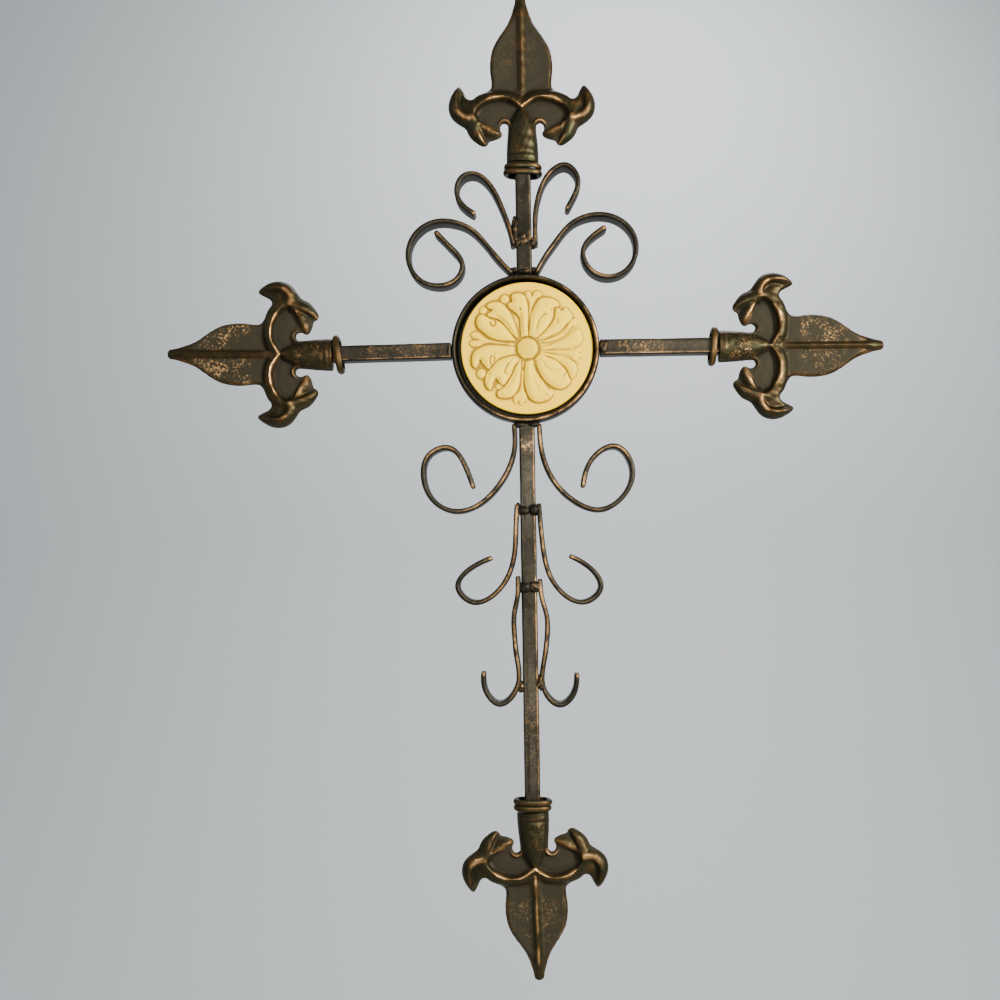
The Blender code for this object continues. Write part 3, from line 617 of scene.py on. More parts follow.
def finial(side):
    """Both faces of the casting over one grid, joined along the outline and flat at the socket's mouth.

    Half the grid is worked out and mirrored. Points just outside the outline are drawn onto it, along
    the way that the distance grows, and both faces share them. The front stands out by the height with
    slow waves and lumps added, and the back by a lower, plainer height.
    """
    cell = CASTING_CELL
    x, y, depth, height, values = casting_heights(LENGTH[side], cell, ROOFS[side])
    gx, gy = np.gradient(depth, cell)
    steep = gx ** 2 + gy ** 2 + 1e-6
    rim = depth < 0.35 * cell
    shift = np.where(rim, depth / steep, 0)
    x = x - np.clip(shift * gx, -1.2 * cell, 1.2 * cell)
    y = np.maximum(y - np.clip(shift * gy, -1.2 * cell, 1.2 * cell), 0)
    x[-1] = LENGTH[side]

    def both(field):
        """A half grid and its mirror image side by side, the axis only once."""
        return np.concatenate([field[:, :0:-1], field], 1)

    x, y, rim = both(x), np.concatenate([-y[:, :0:-1], y], 1), both(rim)
    height = np.where(rim, 0, both(height))
    values = {key: both(value) for key, value in values.items()}
    values["fleck"] = values["fleck"] * FLECKS[side]
    values["rub"] = values["rub"] * np.clip(0.74 + 0.42 * wander(x, y, len(side) + 60, 15), 0.2, 1.1)

    # Cells with any corner inside the outline, and the points that they use, numbered front then back
    solid = ~rim
    cells = solid[:-1, :-1] | solid[1:, :-1] | solid[:-1, 1:] | solid[1:, 1:]
    used = np.zeros(x.shape, bool)
    for rows in (slice(None, -1), slice(1, None)):
        for cols in (slice(None, -1), slice(1, None)):
            used[rows, cols] |= cells
    front = np.full(x.shape, -1)
    front[used] = np.arange(used.sum())
    back = front.copy()
    raised = used & solid
    back[raised] = used.sum() + np.arange(raised.sum())
    i, j = np.nonzero(cells)
    sheet = np.stack([front[i, j], front[i + 1, j], front[i + 1, j + 1], front[i, j + 1]], 1)
    under = np.stack([back[i, j], back[i, j + 1], back[i + 1, j + 1], back[i + 1, j]], 1)
    j = np.nonzero(cells[-1])[0]
    mouth = np.stack([front[-1, j], back[-1, j], back[-1, j + 1], front[-1, j + 1]], 1)
    quads = np.concatenate([sheet, under, mouth])

    lump = (1 - values["dust"]) * np.clip(height - 1, 0, 1) * ease(58, 66, x)
    cast = 0.08 * wander(x, y, 3, 9) * np.clip(height, 0, 1) + 0.13 * wander(x, y, 8, 5) * lump
    full = height + np.minimum(cast, THICKEST - height)
    plain = np.minimum(height, merge(height * 0.55 + 1.2, 0, 0.1))
    points = np.concatenate([np.stack([y, -full, -x], -1)[used], np.stack([y, plain, -x], -1)[raised]])
    values = {key: np.concatenate([value[used], value[raised] * 0.5]) for key, value in values.items()}
    points = place(points + (0, 0, LENGTH[side]), side, REACH[side] - LENGTH[side], LEAN[side])

    # Cells at the mouth's two ends have one side of no length, so they become three-cornered
    doubled = (quads[:, 0] == quads[:, 1]) | (quads[:, 2] == quads[:, 3])
    ends = quads[doubled]
    fans = np.where(ends[:, :1] == ends[:, 1:2], ends[:, 1:], ends[:, :3])
    fans = fans[(fans[:, 0] != fans[:, 1]) & (fans[:, 1] != fans[:, 2])]
    return new_piece("casting_" + side, points, quads[~doubled], fans, **values), "finial_" + side


# Tray

# Profile from the middle of its back, out round the rim and in again: radius, depth out from the wall
TRAY_PROFILE = [
    (0.01, 0), (20, 0), (40, 0), (44.2, 0), (45.6, 0.35), (46.7, 1.4), (47.15, 3), (TRAY_RADIUS, 6),
    (TRAY_RADIUS, 9.5), (47.15, 11.6), (46.9, 12.6), (46.4, 13.3), (45.7, -FRONT_Y), (45.0, 13.5),
    (44.5, 12.9), (44.2, 12.0), (44.1, 10.5), (44.1, 6), (44.1, 3.4), (43.7, TRAY_FLOOR),
    (30, TRAY_FLOOR), (0.01, TRAY_FLOOR)]


def tray():
    """Turned tray: a profile of radius and depth spun about the Y axis, its rim a soft, uneven bead."""
    profile = polyline(TRAY_PROFILE, 1.4)
    radius, deep = profile[:, 0], profile[:, 1]
    angle = np.linspace(0, math.tau, 220, endpoint=False)
    uneven = 0.12 * wander(47 * np.cos(angle), 47 * np.sin(angle), 11, 40)
    on_rim = ease(9, 12.5, deep)[:, None] * ease(43, 44.5, radius)[:, None]
    grow = radius[:, None] - 0.15 * on_rim + uneven[None] * on_rim
    rings = np.stack([grow * np.cos(angle)[None], -deep[:, None] * np.ones_like(grow),
                      grow * np.sin(angle)[None]], -1)
    # Rubbed rim, brighter to the right and below as a painted highlight
    rub = ease(12.6, 13.6, deep)[:, None] * (0.5 + 0.5 * ease(-0.6, 0.7, np.cos(angle + 0.4)))[None]
    # Painted shade on the tray's inner wall and floor, in the gap round the disc
    hollow = ((radius < 44.3) & (deep > TRAY_FLOOR - 0.1) & (deep < 12))[:, None]
    return sleeve("tray", rings, rub=rub, hollow=hollow), "medallion_bezel"


# Medallion

# Carved leaves clockwise from the top: height, then the outline about the disc's middle (right, up)
LEAVES = [
    (2.1, [
        (-3.9, 6.7), (-4.3, 15.4), (-4.8, 18.8), (-6.2, 20.8), (-8.8, 23.2), (-11.8, 25.8), (-12.3, 27.6),
        (-9.6, 29.4), (-9.9, 32.3), (-9, 34), (-6.6, 34.7), (-3.2, 34.3), (-0.8, 32.5), (0.3, 29), (1.0, 24),
        (1.0, 18), (0.6, 12), (0, 6)]),
    (1.3, [
        (1.2, 17), (1.5, 25), (0.7, 29.5), (-0.9, 32.3), (-0.9, 35), (0.6, 36.2), (2.6, 35.2), (3.2, 32.6),
        (4.6, 35.1), (8.4, 35.8), (9.9, 34.2), (9.3, 32.3), (7, 31.2), (4.6, 27.8), (3.2, 24), (2.1, 17)]),
    (2.1, [
        (0.8, 6), (1.6, 13), (2.2, 19.6), (3.6, 23.4), (5.9, 28), (8.8, 31), (13, 31.6), (17.6, 30.2),
        (20.8, 28), (20.6, 25.9), (17.6, 24.9), (17.1, 21.4), (15.8, 17), (12.9, 12.6), (9, 8.6),
        (4.2, 5.4)]),
    (1.8, [
        (5.6, 5), (10.2, 9), (14, 13), (16.6, 16.8), (17.8, 21), (18.4, 24.2), (19.8, 25.1), (22, 23.3),
        (24.2, 25.2), (26.6, 23.6), (29, 20), (28.8, 17.6), (25.8, 15), (23.2, 12.2), (20.5, 9.7),
        (15.5, 7.4), (9.5, 4.8)]),
    (1.7, [
        (8.5, 3), (14.5, 3.2), (18.5, 4.6), (22.2, 6.2), (24.8, 8.8), (27, 11.2), (29.6, 14), (31.2, 16.2),
        (30.2, 18.2), (27.4, 16.4), (25, 13.2), (21.8, 9.4), (16, 6.3), (10, 3.9)]),
    (1.5, [
        (7.5, 0.6), (15.6, 1.9), (19, 3.3), (23, 5), (26, 7.6), (28.4, 10), (31.6, 12), (33.4, 11.6),
        (35, 8.6), (35.2, 4.4), (33.6, 1.4), (29.6, -0.2), (24, -1.2), (16, -1.2), (8, -0.3)]),
    (1.1, [
        (9, -1.2), (17, -2.3), (25, -2.2), (30.4, -1.3), (34.6, -0.6), (35.4, -2.4), (33, -3.6), (35, -5.2),
        (34.8, -7), (32.4, -7), (33.8, -9.4), (31.4, -9.6), (27, -6.2), (20, -4.2), (12, -2.6)]),
    (1.5, [
        (7.4, -2.6), (13, -3.8), (20, -5.3), (26, -7.3), (30.6, -10.6), (31.8, -14.4), (30.4, -18.2),
        (27.8, -20.2), (25.6, -16), (23.4, -12.4), (19.4, -9.2), (13, -5.8), (8, -3.9)]),
    (2.1, [
        (4, -6.4), (6.2, -13.2), (9.2, -19.2), (12.2, -22.7), (15.4, -25.2), (19.3, -26.8), (22.6, -26.4),
        (25.2, -24.8), (27.4, -22), (26.4, -19.4), (24.5, -15.4), (21.4, -11.4), (17.4, -8), (12, -5.8),
        (7, -3.9)]),
    (2.2, [
        (-0.8, -6.4), (-1.8, -12), (-2.3, -20), (-1.6, -26), (-0.4, -30), (1.2, -32.6), (4.7, -34.9),
        (8.6, -34.8), (12, -33.7), (14.6, -32.3), (15.4, -29.6), (13, -26.2), (10.4, -22.6), (7.8, -19.2),
        (5.4, -14.8), (3.9, -10.6), (2.6, -6.4)]),
    (1.2, [
        (-4.0, -14), (-4.5, -22), (-6, -27.6), (-9.2, -31), (-9.4, -34), (-7.6, -36), (-6, -34),
        (-5.2, -36.3), (-3.4, -36.6), (-2.4, -34.6), (-1, -34.8), (-0.4, -32.4), (-1.8, -28), (-2.9, -22),
        (-3.2, -14)]),
    (2.1, [
        (-4.4, -6.4), (-7.4, -11.6), (-9.4, -16), (-12, -20.6), (-15.4, -24.8), (-18.6, -26.8), (-20, -28.8),
        (-19.2, -31), (-17, -31.9), (-13, -32), (-10, -31), (-7.2, -28), (-5.2, -23), (-4.4, -16),
        (-4, -10)]),
    (2.0, [
        (-5.2, -5.6), (-10, -5.2), (-15, -6.5), (-18.6, -7.8), (-21, -10), (-23.4, -12.8), (-25.6, -15),
        (-27.2, -19), (-27.2, -23), (-26, -25.4), (-24.2, -26.8), (-22.6, -24.6), (-21.2, -20.6),
        (-20.4, -19.6), (-18.6, -21.6), (-15.6, -23.8), (-12.4, -19.8), (-10, -16.2), (-8, -11.6),
        (-5, -6.4)]),
    (2.0, [
        (-7, 0.4), (-14, 1.2), (-24.6, 1.8), (-28.6, 1), (-31.4, -0.5), (-33.8, -2), (-35.2, -4.8),
        (-35.5, -8.6), (-35, -11.4), (-33.2, -12.8), (-31.6, -11.4), (-30, -7.6), (-28.4, -10),
        (-26.6, -12.2), (-25, -13.6), (-23, -11.6), (-20.6, -9), (-18.2, -7), (-14.6, -5.6), (-10.6, -4.4),
        (-7, -3.2)]),
    (1.2, [
        (-10, 2.6), (-18, 2.7), (-24, 3.3), (-28, 2.6), (-31, 1), (-34, 1.1), (-36.6, 2.2), (-36.4, 4.4),
        (-34.6, 5), (-31, 5.3), (-34.6, 6.8), (-36, 9), (-34.4, 10.3), (-31.4, 10.4), (-27.4, 7.4),
        (-22, 4.7), (-16, 3.6)]),
    (2.1, [
        (-7.2, 4), (-15, 4.4), (-21.6, 5.7), (-25.8, 8), (-28.8, 10.6), (-31, 12.6), (-32.2, 15),
        (-32.2, 18), (-31, 20.6), (-29, 21.6), (-26, 20.4), (-22.4, 18.4), (-19, 17.6), (-16.4, 15.8),
        (-13.2, 12.6), (-10.6, 9.2), (-8, 5.6)]),
    (2.1, [
        (-5.4, 5.6), (-8.6, 7.6), (-11.2, 10.8), (-13.8, 14), (-16.8, 17), (-19.2, 18.4), (-22.4, 19),
        (-25.6, 21.3), (-22.3, 23.8), (-25.8, 26.2), (-24.4, 28.2), (-21.5, 29.1), (-18.2, 29.3),
        (-15.6, 28.2), (-12.6, 25.2), (-9.8, 20.8), (-7.8, 16), (-6.4, 11)]),
]
# Small round buds and the lobes that show between leaves: middle, radius, height
BUDS = [
    (-14, 30.8, 3.0, 1.7), (-29.4, -16.2, 3.1, 1.6), (-27.6, 24, 2.6, 1.1), (-18.2, -24.6, 2.2, 0.8),
    (14.2, -28.6, 2.2, 1.1), (29.8, 15.6, 2.6, 1.0)]
# Folds and curls cut into the leaves: how deep, how wide, and where they run
FOLDS = [
    (0.8, 0.7, [(-20.4, 17.4), (-20.1, 15), (-21.2, 13.8), (-22.8, 14.8), (-23.4, 16)]),
    (0.7, 0.7, [(-23.4, -10.4), (-23.7, -7.2), (-22.8, -5.4), (-21.2, -5.8), (-21.2, -8)]),
    (0.5, 0.8, [(-9.6, -6.6), (-12, -9.8), (-14, -13.6), (-14.4, -16), (-11.6, -17.2)]),
    (0.5, 1.0, [(-6.4, -9), (-9, -13), (-11.4, -16.8)]),
    (0.5, 1.1, [(-8, -2), (-15, -3.2), (-20.4, -4)]),
    (0.5, 0.9, [(7.4, -7.8), (10, -10), (12, -13), (15, -14.6), (17.6, -14.6), (21.6, -12.6)]),
    (0.6, 0.9, [(4.8, -8.6), (5.2, -13.6), (5.6, -18), (8, -21)]),
    (0.7, 0.6, [(22.4, -19), (24.2, -16.2)]),
    (0.6, 1.0, [(5.2, 9), (6.7, 14), (9, 18.8), (11.4, 20.8)]),
    (0.5, 0.8, [(15.6, 24.2), (15.9, 21), (15.2, 18)]),
    (0.5, 0.8, [(8, 5.2), (13, 6), (18.4, 8.4)]),
    (0.6, 0.8, [(19.4, 17), (19, 15)]),
    (0.6, 1.3, [(22.6, 9.4), (24.6, 12.6)]),
    (0.5, 0.8, [(29, 10.4), (31.6, 11.4)]),
    (0.35, 0.9, [(-3, 9), (-3.5, 16), (-4.2, 23)]),
    (0.9, 0.55, [(-4.3, 24.4), (-4.2, 24)]),
    (0.35, 1.1, [(-9, 7.4), (-14, 9.6), (-19, 12.4)]),
    (0.35, 0.9, [(-9, 9.8), (-13.6, 15.6), (-19.6, 21.4)]),
    (0.7, 0.7, [(11, -30), (13.6, -32)]),
    (0.35, 1.0, [(2, -9), (3.4, -18), (6.4, -27)]),
    (0.35, 1.0, [(-6, -12), (-9.4, -20), (-13.6, -27)]),
    (0.4, 0.9, [(-24.4, -16), (-24.8, -21)]),
    (0.6, 0.6, [(-17, -29.4), (-16.6, -29)]),
    (0.3, 1.0, [(7, -5.6), (14, -8.8), (20, -14.6)]),
]
# How far the rosette's middle lies from the disc's, both right and up, how far its button lies under
# that, and the button's radius
ROSETTE_MIDDLE = 0.2
BUTTON_DROP = 0.6
BUTTON_RADIUS = 6.7
# Radius inside which the carving keeps its height, and that at which it has run out
CARVED_RADIUS = (37.5, 39.5)


def medallion():
    """Carved disc: rings and spokes about its middle, lifted where they fall inside the leaves' outlines.

    A leaf rises with the distance in from its outline, first steeply and then slowly. Folds are cut
    into the leaves, a moat round the domed button, and a fine pebble grain stands on the button.
    "hollow" is how much lower the carving lies than itself blurred by three widths: tan antiquing in the
    creases, deepened with painted shade in the broad valleys and towards the left and top.
    """
    cx, cz = DISC_MIDDLE
    face = -FRONT_Y - DISC_SUNK
    back = TRAY_FLOOR + GAP
    kept, run_out = CARVED_RADIUS
    radius = np.concatenate([np.linspace(0.02, run_out, 124), np.linspace(39.8, DISC_RADIUS - 0.6, 6)])
    angle = np.linspace(0, math.tau, 640, endpoint=False)
    x = radius[:, None] * np.cos(angle)[None]
    z = radius[:, None] * np.sin(angle)[None]
    px, pz = x - ROSETTE_MIDDLE, z - ROSETTE_MIDDLE
    from_middle = np.hypot(px, pz + BUTTON_DROP)

    relief = np.zeros_like(x)
    for height, knots in LEAVES:
        outline = spline(knots + knots[:1], 110)
        near = in_box(outline, px, pz, 0.1)
        ax, az = px[near][None], pz[near][None]
        depth = beside(outline, ax, az)[0] * enclosed(outline, ax, az)
        rise = 0.62 * round_in(depth, 0.9) + 0.38 * ease(0, 3.4, depth)
        relief[near] = np.maximum(relief[near], 1.2 * height * (rise * ease(0, 0.35, depth))[0])
    for bx, bz, size, height in BUDS:
        away = np.hypot(px - bx, pz - bz)
        relief = merge(relief, height * dome(away / size, 0.45), 0.1)
    cut = np.zeros_like(x)
    for deep, wide, knots in FOLDS:
        knots = spline(knots, 60) if len(knots) > 2 else polyline(knots, 0.2)
        near = in_box(knots, px, pz, 3 * wide)
        away = beside(knots, px[near][None], pz[near][None])[0][0]
        cut[near] = np.maximum(cut[near], deep * glow(away, wide))
    relief = np.maximum(relief - cut, 0) * (0.35 + 0.65 * ease(5, 13, from_middle))
    moat = 0.5 * glow(from_middle - 7.1, 0.9)
    button = 2.1 * dome(from_middle / BUTTON_RADIUS, 0.45)
    grain = 0.3 * np.cos(px * 4.3 + np.sin(pz * 2.3)) * np.cos(pz * 4.5 + np.sin(px * 2.1))
    grain = grain * ease(6.4, 5.2, from_middle)
    relief = merge(relief - moat, button + grain, 0.2)
    relief = np.clip(relief, -0.5, 2.7) * ease(run_out, kept, np.hypot(x, z))

    crease, line, valley = (np.clip(soften(relief, width) - relief, 0, 1) for width in (2.6, 1.2, 6.5))
    # Painted shade in the broad valleys, strongest near the middle
    valley = valley * (0.35 + 0.65 * ease(22, 12, from_middle))
    # Painted shade, heavier towards the left and top
    shade_towards_left = 0.55 + 0.6 * ease(24, -24, x - 0.4 * z)
    hollow = np.clip((crease * 1.3 + line * 2.9 + valley * 2.3) * shade_towards_left, 0, 1)
    rub = np.clip(relief / 2.2, 0, 1)

    carved = face + relief + 0.06 * wander(x, z, 21, 16)
    rings = [np.stack([x + cx, -carved, z + cz], -1)]
    for r, deep in ((DISC_RADIUS - 0.2, face - 0.15), (DISC_RADIUS, face - 0.6), (DISC_RADIUS, back + 0.1),
                    (DISC_RADIUS - 0.4, back), (20.0, back), (0.02, back)):
        ring = np.stack([r * np.cos(angle) + cx, np.full(angle.shape, -deep), r * np.sin(angle) + cz], -1)
        rings.append(ring[None])
    rings = np.concatenate(rings)
    pad = np.zeros((len(rings) - len(radius), len(angle)))
    # The disc's edge and back get a little painted shade
    hollow, rub = np.concatenate([hollow, pad + 0.3]), np.concatenate([rub, pad])
    return sleeve("rosette", rings, rub=rub, hollow=hollow), "medallion"


# Welds

# Middle of each bead as x, z, its half sizes across, deep and high, and how far its middle lies behind
# the bars' front face
WELDS = [
    (-5.6, 74.2, 2.4, 4.6, 10.4, 2.2), (-2.2, 68.2, 5.2, 2.2, 4.0, 0.8), (-1.2, 70.4, 2.6, 1.6, 2.4, 0.4),
    (5.7, 66.8, 2.4, 3.6, 3.9, 2.2), (-6.4, 49.6, 2.8, 3.8, 2.4, 3.2), (6.2, 49.6, 2.4, 3.6, 2.4, 3.2),
    (0, 48.6, 4.6, 2.4, 1.8, 1.0), (-4.4, -48.6, 4.6, 2.6, 1.9, 1.6), (4.2, -48.5, 4.6, 2.6, 1.8, 1.6),
    (3.6, -102.4, 4.1, 3.2, 4.1, 1.4), (-3.2, -103.0, 5.0, 2.4, 3.5, 1.2),
    (-6.4, -101.5, 1.8, 3.0, 4.0, 2.4), (-2.8, -151.8, 4.3, 2.0, 3.6, 0.6),
    (3.1, -151.4, 4.3, 2.2, 3.8, 0.6), (6.4, -150.4, 1.6, 3.0, 3.6, 2.2), (-6.3, -150.6, 1.5, 2.8, 3.4, 2.4),
    (-6.2, -214.6, 2.6, 3.4, 3.8, 2.2), (6.2, -212.0, 2.8, 3.6, 5.2, 1.8), (49.2, 0.2, 3.6, 2.6, 4.6, 1.2),
    (-48.9, -0.6, 2.0, 2.6, 5.0, 2.2)]
# Foremost that a bead comes
WELD_FRONT_Y = -14.9


def weld(number):
    """A bead of weld: a ball squeezed to its three half sizes and made lumpy by slow waves.

    The beads at the top, at the bottom and on the right are rubbed bright like the metal round them.
    """
    x, z, across, deep, high, behind = WELDS[number]
    lat = np.linspace(0.03, math.pi - 0.03, 26)[:, None]
    lon = np.linspace(0, math.tau, 40, endpoint=False)[None]
    ball = np.sin(lat) * np.cos(lon), np.sin(lat) * np.sin(lon), np.cos(lat) * np.ones_like(lon)
    lump = 1 + 0.08 * wander(ball[0] * 6, ball[2] * 6 + ball[1] * 3, number, 6)
    middle_y = AXIS_Y - BAR / 2 + behind
    rings = np.stack([x + across * lump * ball[0],
                      np.maximum(middle_y + deep * lump * ball[1], WELD_FRONT_Y),
                      z + high * lump * ball[2]], -1)
    warm = 0.62 if z > 60 or z < -200 or x > 45 else 0.1
    cloud = wander(rings[..., 0] * 2, rings[..., 2] * 2, number + 40, 5)
    rub = np.clip(warm + cloud * (0.5 - 0.3 * warm), 0, 1)
    return sleeve("weld_%02d" % (number + 1), rings, rub=rub, hollow=0.35 - 0.5 * warm)


# Materials

class Field:
    """A value that changes over a surface, on which sums can be written as on a number."""

    def __init__(self, paint, socket):
        self.paint = paint
        self.socket = socket

    def math(self, operation, *others, clamp=False):
        """This value and the others put through a Math node, kept within 0 and 1 if clamp is set."""
        values = dict(enumerate((self, *others)))
        return self.paint.node("ShaderNodeMath", {"operation": operation, "use_clamp": clamp}, values)

    def __add__(self, other):
        return self.math("ADD", other)

    def __mul__(self, other):
        return self.math("MULTIPLY", other)

    def __sub__(self, other):
        return self.math("SUBTRACT", other)

    def __rsub__(self, other):
        return self.paint.node("ShaderNodeMath", {"operation": "SUBTRACT"}, {0: other, 1: self})

    __radd__ = __add__
    __rmul__ = __mul__

    def clamp(self):
        """This value kept within 0 and 1."""
        return self.math("ADD", 0.0, clamp=True)

    def step(self, low, high):
        """0 below low, 1 above high, smooth between."""
        return self.paint.node("ShaderNodeMapRange", {"interpolation_type": "SMOOTHSTEP"},
                               {0: self, 1: low, 2: high, 3: 0.0, 4: 1.0})


class Paint:
    """One material's nodes."""

    def __init__(self, name):
        self.material = bpy.data.materials.new(name)
        self.material.use_nodes = True
        self.tree = self.material.node_tree
        self.shader = self.tree.nodes["Principled BSDF"]
        self.place = self.node("ShaderNodeTexCoord", {}, {}, "Object")

    def node(self, kind, settings, inputs, output=0):
        """An output of a new node of this type, given its settings and its sockets' values or links."""
        made = self.tree.nodes.new(kind)
        for key, value in settings.items():
            setattr(made, key, value)
        for key, value in inputs.items():
            self.put(made.inputs[key], value)
        return Field(self, made.outputs[output])

    def put(self, socket, value):
        """A socket's value: a field by a link, a colour as red, green and blue, or a plain number."""
        if isinstance(value, Field):
            self.tree.links.new(value.socket, socket)
        elif isinstance(value, tuple):
            socket.default_value = (*value, 1.0)
        else:
            socket.default_value = value

    def noise(self, scale, detail=4.0, rough=0.6):
        """Cloudy noise between 0 and 1, with about that many blotches to the metre."""
        return self.node("ShaderNodeTexNoise", {}, {"Vector": self.place, "Scale": scale, "Detail": detail,
                                                    "Roughness": rough})

    def value(self, name):
        """One of the values that a piece carries at its points, 0 where it has none of that name."""
        return self.node("ShaderNodeAttribute", {"attribute_name": name}, {}, "Fac")

    def mix(self, share, a, b):
        """Colour a where share is 0, b where it is 1. A colour's sockets come after those of numbers."""
        return self.node("ShaderNodeMix", {"data_type": "RGBA"}, {0: share, 6: a, 7: b}, 2)

    def bump(self, height, strength, distance):
        """Normals tilted as if the height stood out by that distance."""
        return self.node("ShaderNodeBump", {}, {"Height": height, "Strength": strength,
                                                "Distance": distance})

    def finish(self, **sockets):
        """The material, once these sockets of its surface shader are set (_ stands for a space)."""
        for key, value in sockets.items():
            self.put(self.shader.inputs[key.replace("_", " ")], value)
        return self.material


def patinated_iron():
    """Dark olive-brown iron, cloudy, with tan and copper rubbed through along its corners.

    Over the cloudy base lie, in turn, streaks, a brown grain, paler worn places, which on the bottom bar
    also paint a sheen of light, rubbed metal along the edges, partly a painted highlight, with specks and
    patches of it elsewhere, and near black that is painted shade on the bars' sides and in the tray's gap
    and a darker tone on some welds.
    """
    p = Paint("patinated_iron")
    cloud = p.noise(38, 5)
    fine = p.noise(420, 6, 0.7)
    worn = p.noise(70, 6, 0.75)
    grain = p.noise(900, 3, 0.6)
    umber, olive = (0.012, 0.011, 0.007), (0.029, 0.025, 0.016)
    grey_brown, brown, pale = (0.066, 0.060, 0.046), (0.095, 0.070, 0.040), (0.135, 0.125, 0.10)
    copper, tan, near_black = (0.38, 0.17, 0.055), (0.60, 0.37, 0.15), (0.008, 0.007, 0.004)

    base = p.mix(cloud.step(0.35, 0.68), umber, olive)
    base = p.mix(p.value("streak") * p.noise(16, 2).step(0.42, 0.6) * 0.9, base, grey_brown)
    base = p.mix(fine.step(0.5, 0.72) * 0.4, base, brown)
    base = p.mix(p.value("pale") * worn.step(0.3, 0.62) * 0.7, base, pale)
    edge = (p.value("rub").step(0.5, 1.0) * worn.step(0.40, 0.60)).clamp()
    speck = p.value("fleck") * (grain * 0.6 + worn * 0.4).step(0.51, 0.6)
    patch = worn.step(0.58, 0.68) * fine.step(0.42, 0.6)
    rub = (edge * (0.5 + 0.5 * cloud.step(0.36, 0.6)) + patch * 0.3 + speck * 0.8).clamp()
    base = p.mix(rub, base, p.mix(cloud, copper, tan))
    # Painted shade from "hollow": the bars' sides and the tray's gap; a darker tone on some welds
    base = p.mix(p.value("hollow") * 0.8, base, near_black)
    bump = p.bump(fine * 0.5 + worn, 0.35, 0.0006)
    return p.finish(Base_Color=base, Metallic=0.85, Roughness=0.42 - rub * 0.08 + fine * 0.14, Normal=bump)


def cast_bronze():
    """Cast metal: near black and olive brown, with copper and gold on its crests.

    Over the cloudy base lie, in turn, brown worn places, dull floors and flats, deep shade painted in
    the recesses, a warm brown round the crests, and gold on the crests themselves, which on the arms'
    broad high crests is also a painted highlight, and in specks.
    """
    p = Paint("cast_bronze")
    cloud = p.noise(45, 4)
    fine = p.noise(520, 6, 0.7)
    grain = p.noise(900, 3, 0.6)
    worn = p.noise(140, 6, 0.7)
    dust = p.value("dust")
    umber, olive = (0.036, 0.027, 0.012), (0.030, 0.030, 0.015)
    brown, dull, near_black = (0.085, 0.045, 0.018), (0.026, 0.022, 0.012), (0.008, 0.006, 0.003)
    chestnut, copper, gold = (0.15, 0.068, 0.022), (0.54, 0.25, 0.075), (0.90, 0.60, 0.27)

    base = p.mix(cloud.step(0.38, 0.66), umber, olive)
    base = p.mix(worn.step(0.5, 0.66) * 0.6, base, brown)
    base = p.mix(dust * 0.9, base, dull)
    # Painted shade in the recesses, from "shade"
    base = p.mix((p.value("shade") * 0.9).clamp(), base, near_black)
    warm = (p.value("rub").step(0.05, 0.6) * worn.step(0.3, 0.6)).clamp()
    base = p.mix(warm * 0.7, base, chestnut)
    shine = (p.value("rub").step(0.35, 0.95) * (worn * 1.3 + fine * 0.9 - 0.4)).clamp()
    mottled = (grain * 0.6 + worn * 0.4).step(0.53, 0.61)
    speck = (p.value("fleck") * mottled * cloud.step(0.36, 0.52)).clamp()
    shine = (shine + speck * 0.6).clamp()
    base = p.mix(shine, base, p.mix(worn, copper, gold))
    bump = p.bump(fine * 0.6 + grain * 0.4, 0.3, 0.0005)
    rough = 0.38 - shine * 0.08 + dust * 0.32 + fine * 0.12
    return p.finish(Base_Color=base, Metallic=(0.85 - dust * 0.5 + shine * 0.4).clamp(), Roughness=rough,
                    Specular_IOR_Level=0.25, Normal=bump)


def cream_cast():
    """Cream-yellow cast stone or resin, paler on its heights, tan in its creases from antiquing deepened with
    painted shade, softly mottled.
    """
    p = Paint("cream_cast")
    cloud = p.noise(30, 4)
    fine = p.noise(300, 5, 0.65)
    base = p.mix(cloud.step(0.3, 0.7), (1.0, 0.60, 0.0), (1.0, 0.67, 0.002))
    base = p.mix(p.value("rub") * 0.5, base, (1.0, 0.73, 0.002))
    # Tan in the creases: antiquing, deepened with painted shade
    base = p.mix(p.value("hollow").step(0.05, 0.62) * 0.92, base, (0.25, 0.135, 0.006))
    base = p.mix(fine.step(0.62, 0.78) * 0.2, base, (0.62, 0.38, 0.05))
    bump = p.bump(fine, 0.15, 0.0003)
    return p.finish(Base_Color=base, Roughness=0.6 - cloud * 0.08, Specular_IOR_Level=0.15, Normal=bump)


# Putting it together

iron = patinated_iron()
bronze = cast_bronze()
cream = cream_cast()


def dress(item, material, slot, *nodes):
    """Give a piece its material and body, and hide the solids that it takes the place of. The slot is not
    used.
    """
    item.data.materials.append(material)
    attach(item, "root")
    if nodes:
        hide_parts(*nodes)


for side in ("top", "bottom", "left", "right"):
    piece, node = bar(side)
    dress(piece, iron, "bronzed_iron", node)
    piece, node = finial(side)
    dress(piece, bronze, "bronzed_casting", node)
    (first, *others), node = collar(side)
    dress(first, bronze, "bronzed_casting", node)
    for piece in others:
        dress(piece, bronze, "bronzed_casting")
for name in SCROLLS:
    piece, node = scroll(name)
    dress(piece, iron, "bronzed_iron", node)
piece, node = tray()
dress(piece, iron, "bronzed_iron", node)
piece, node = medallion()
dress(piece, cream, "cream_resin", node)
for number in range(len(WELDS)):
    dress(weld(number), iron, "bronzed_iron")


# Stage, lights and camera, in metres

# Backdrop: height of its floor, how near it starts, where it starts to bend up, the bend's radius, how
# high it goes over the floor, and its half width
FLOOR = -1.25
NEAR = -5
BEND_START = 1.4
BEND_RADIUS = 1.2
TOP = 4.5
HALF_WIDTH = 5


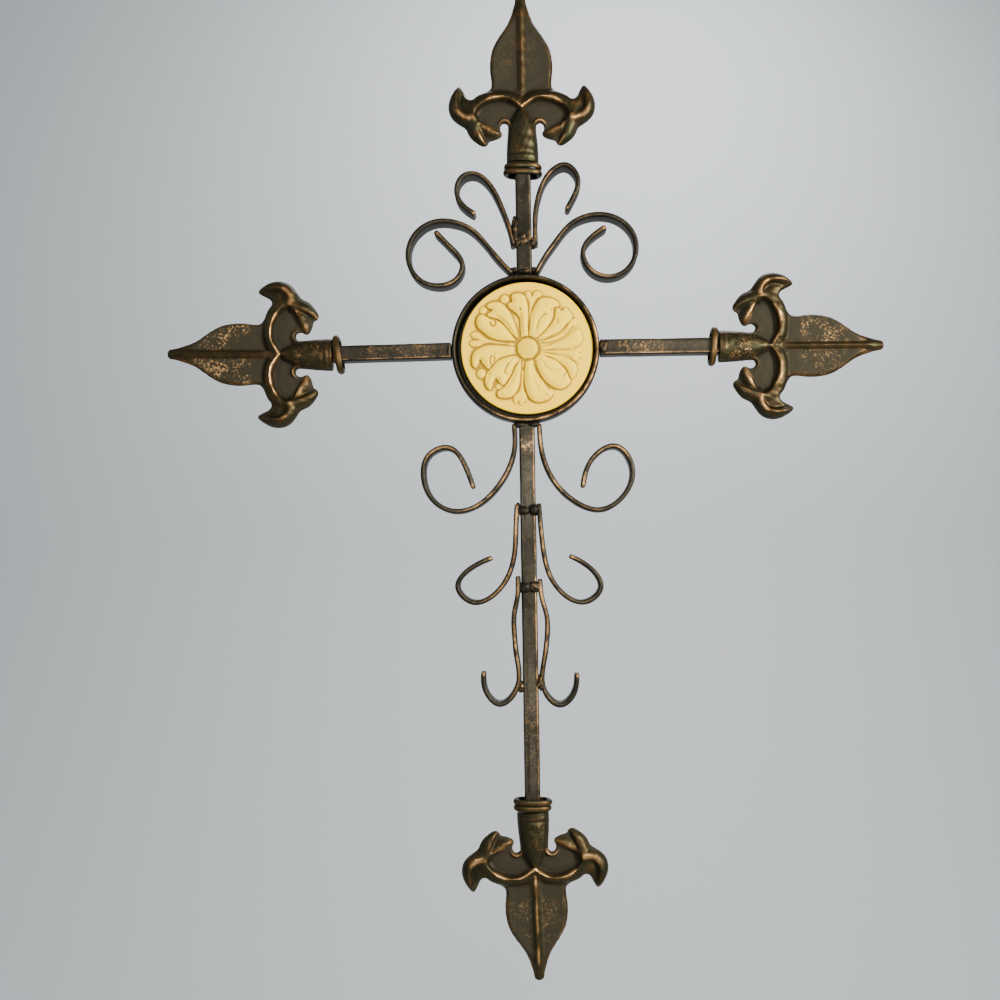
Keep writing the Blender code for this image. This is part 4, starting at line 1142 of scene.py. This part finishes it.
def backdrop():
    """Pale floor below, curving up by a quarter circle into a pale wall of light far behind."""
    bend = np.radians(np.linspace(3, 90, 24))
    run = np.concatenate([np.linspace(NEAR, BEND_START, 20), BEND_START + BEND_RADIUS * np.sin(bend),
                          np.full(14, BEND_START + BEND_RADIUS)])
    rise = np.concatenate([np.zeros(20), BEND_RADIUS - BEND_RADIUS * np.cos(bend),
                           np.linspace(BEND_RADIUS + 0.2, TOP, 14)]) + FLOOR
    across = np.linspace(-HALF_WIDTH, HALF_WIDTH, 12)
    grid = np.broadcast_arrays(across[None], run[:, None], rise[:, None])
    points = np.stack(grid, -1) * 1000
    index = np.arange(points.shape[0] * 12).reshape(-1, 12)
    quads = np.stack([index[:-1, :-1], index[:-1, 1:], index[1:, 1:], index[1:, :-1]], -1).reshape(-1, 4)
    item = new_piece("backdrop", points.reshape(-1, 3), quads)
    paint = Paint("pale_paper")
    item.data.materials.append(paint.finish(Base_Color=(0.56, 0.60, 0.63), Roughness=0.9))


def area_light(name, place_at, aim, size, watts, tint=(1, 1, 1)):
    """A round lamp at a place, turned so that its own -Z points at its aim."""
    lamp = bpy.data.lights.new(name, "AREA")
    lamp.shape = "DISK"
    lamp.size = size
    lamp.energy = watts
    lamp.color = tint
    item = bpy.data.objects.new(name, lamp)
    bpy.context.scene.collection.objects.link(item)
    item.location = place_at
    x, y, z = np.array(aim) - np.array(place_at)
    item.rotation_euler = (math.atan2(math.hypot(x, y), -z), 0, math.atan2(y, x) - math.pi / 2)


backdrop()
area_light("key", (1.2, -1.1, 0.25), (0, 0, -0.05), size=0.2, watts=62, tint=(1.0, 0.94, 0.84))
area_light("near_camera", (0.03, -0.72, -0.02), (0, 0, -0.08), size=0.1, watts=3.6, tint=(1.0, 0.97, 0.92))
area_light("left_fill", (-1.6, -0.9, 0.6), (0, 0, -0.1), size=1.2, watts=5, tint=(0.92, 0.96, 1.0))
area_light("rear", (0.4, 1.2, 1.6), (0, 2.4, -0.1), size=1.6, watts=55)

world = bpy.data.worlds.new("studio")
bpy.context.scene.world = world
world.use_nodes = True
background = world.node_tree.nodes["Background"]
background.inputs["Color"].default_value = (0.90, 0.91, 0.92, 1)
background.inputs["Strength"].default_value = 0.35

# Level, square on and rolled a little, its frame shifted off the lens's middle
camera = bpy.data.objects.new("camera", bpy.data.cameras.new("camera"))
bpy.context.scene.collection.objects.link(camera)
camera.data.lens = 36
camera.data.sensor_width = 36
camera.data.shift_x = -0.035
camera.data.shift_y = 0.057
camera.data.clip_start = 0.02
camera.location = (0.00393, -0.6457, -0.13244)
camera.rotation_euler = (math.radians(90), math.radians(0.9), 0)
bpy.context.scene.camera = camera
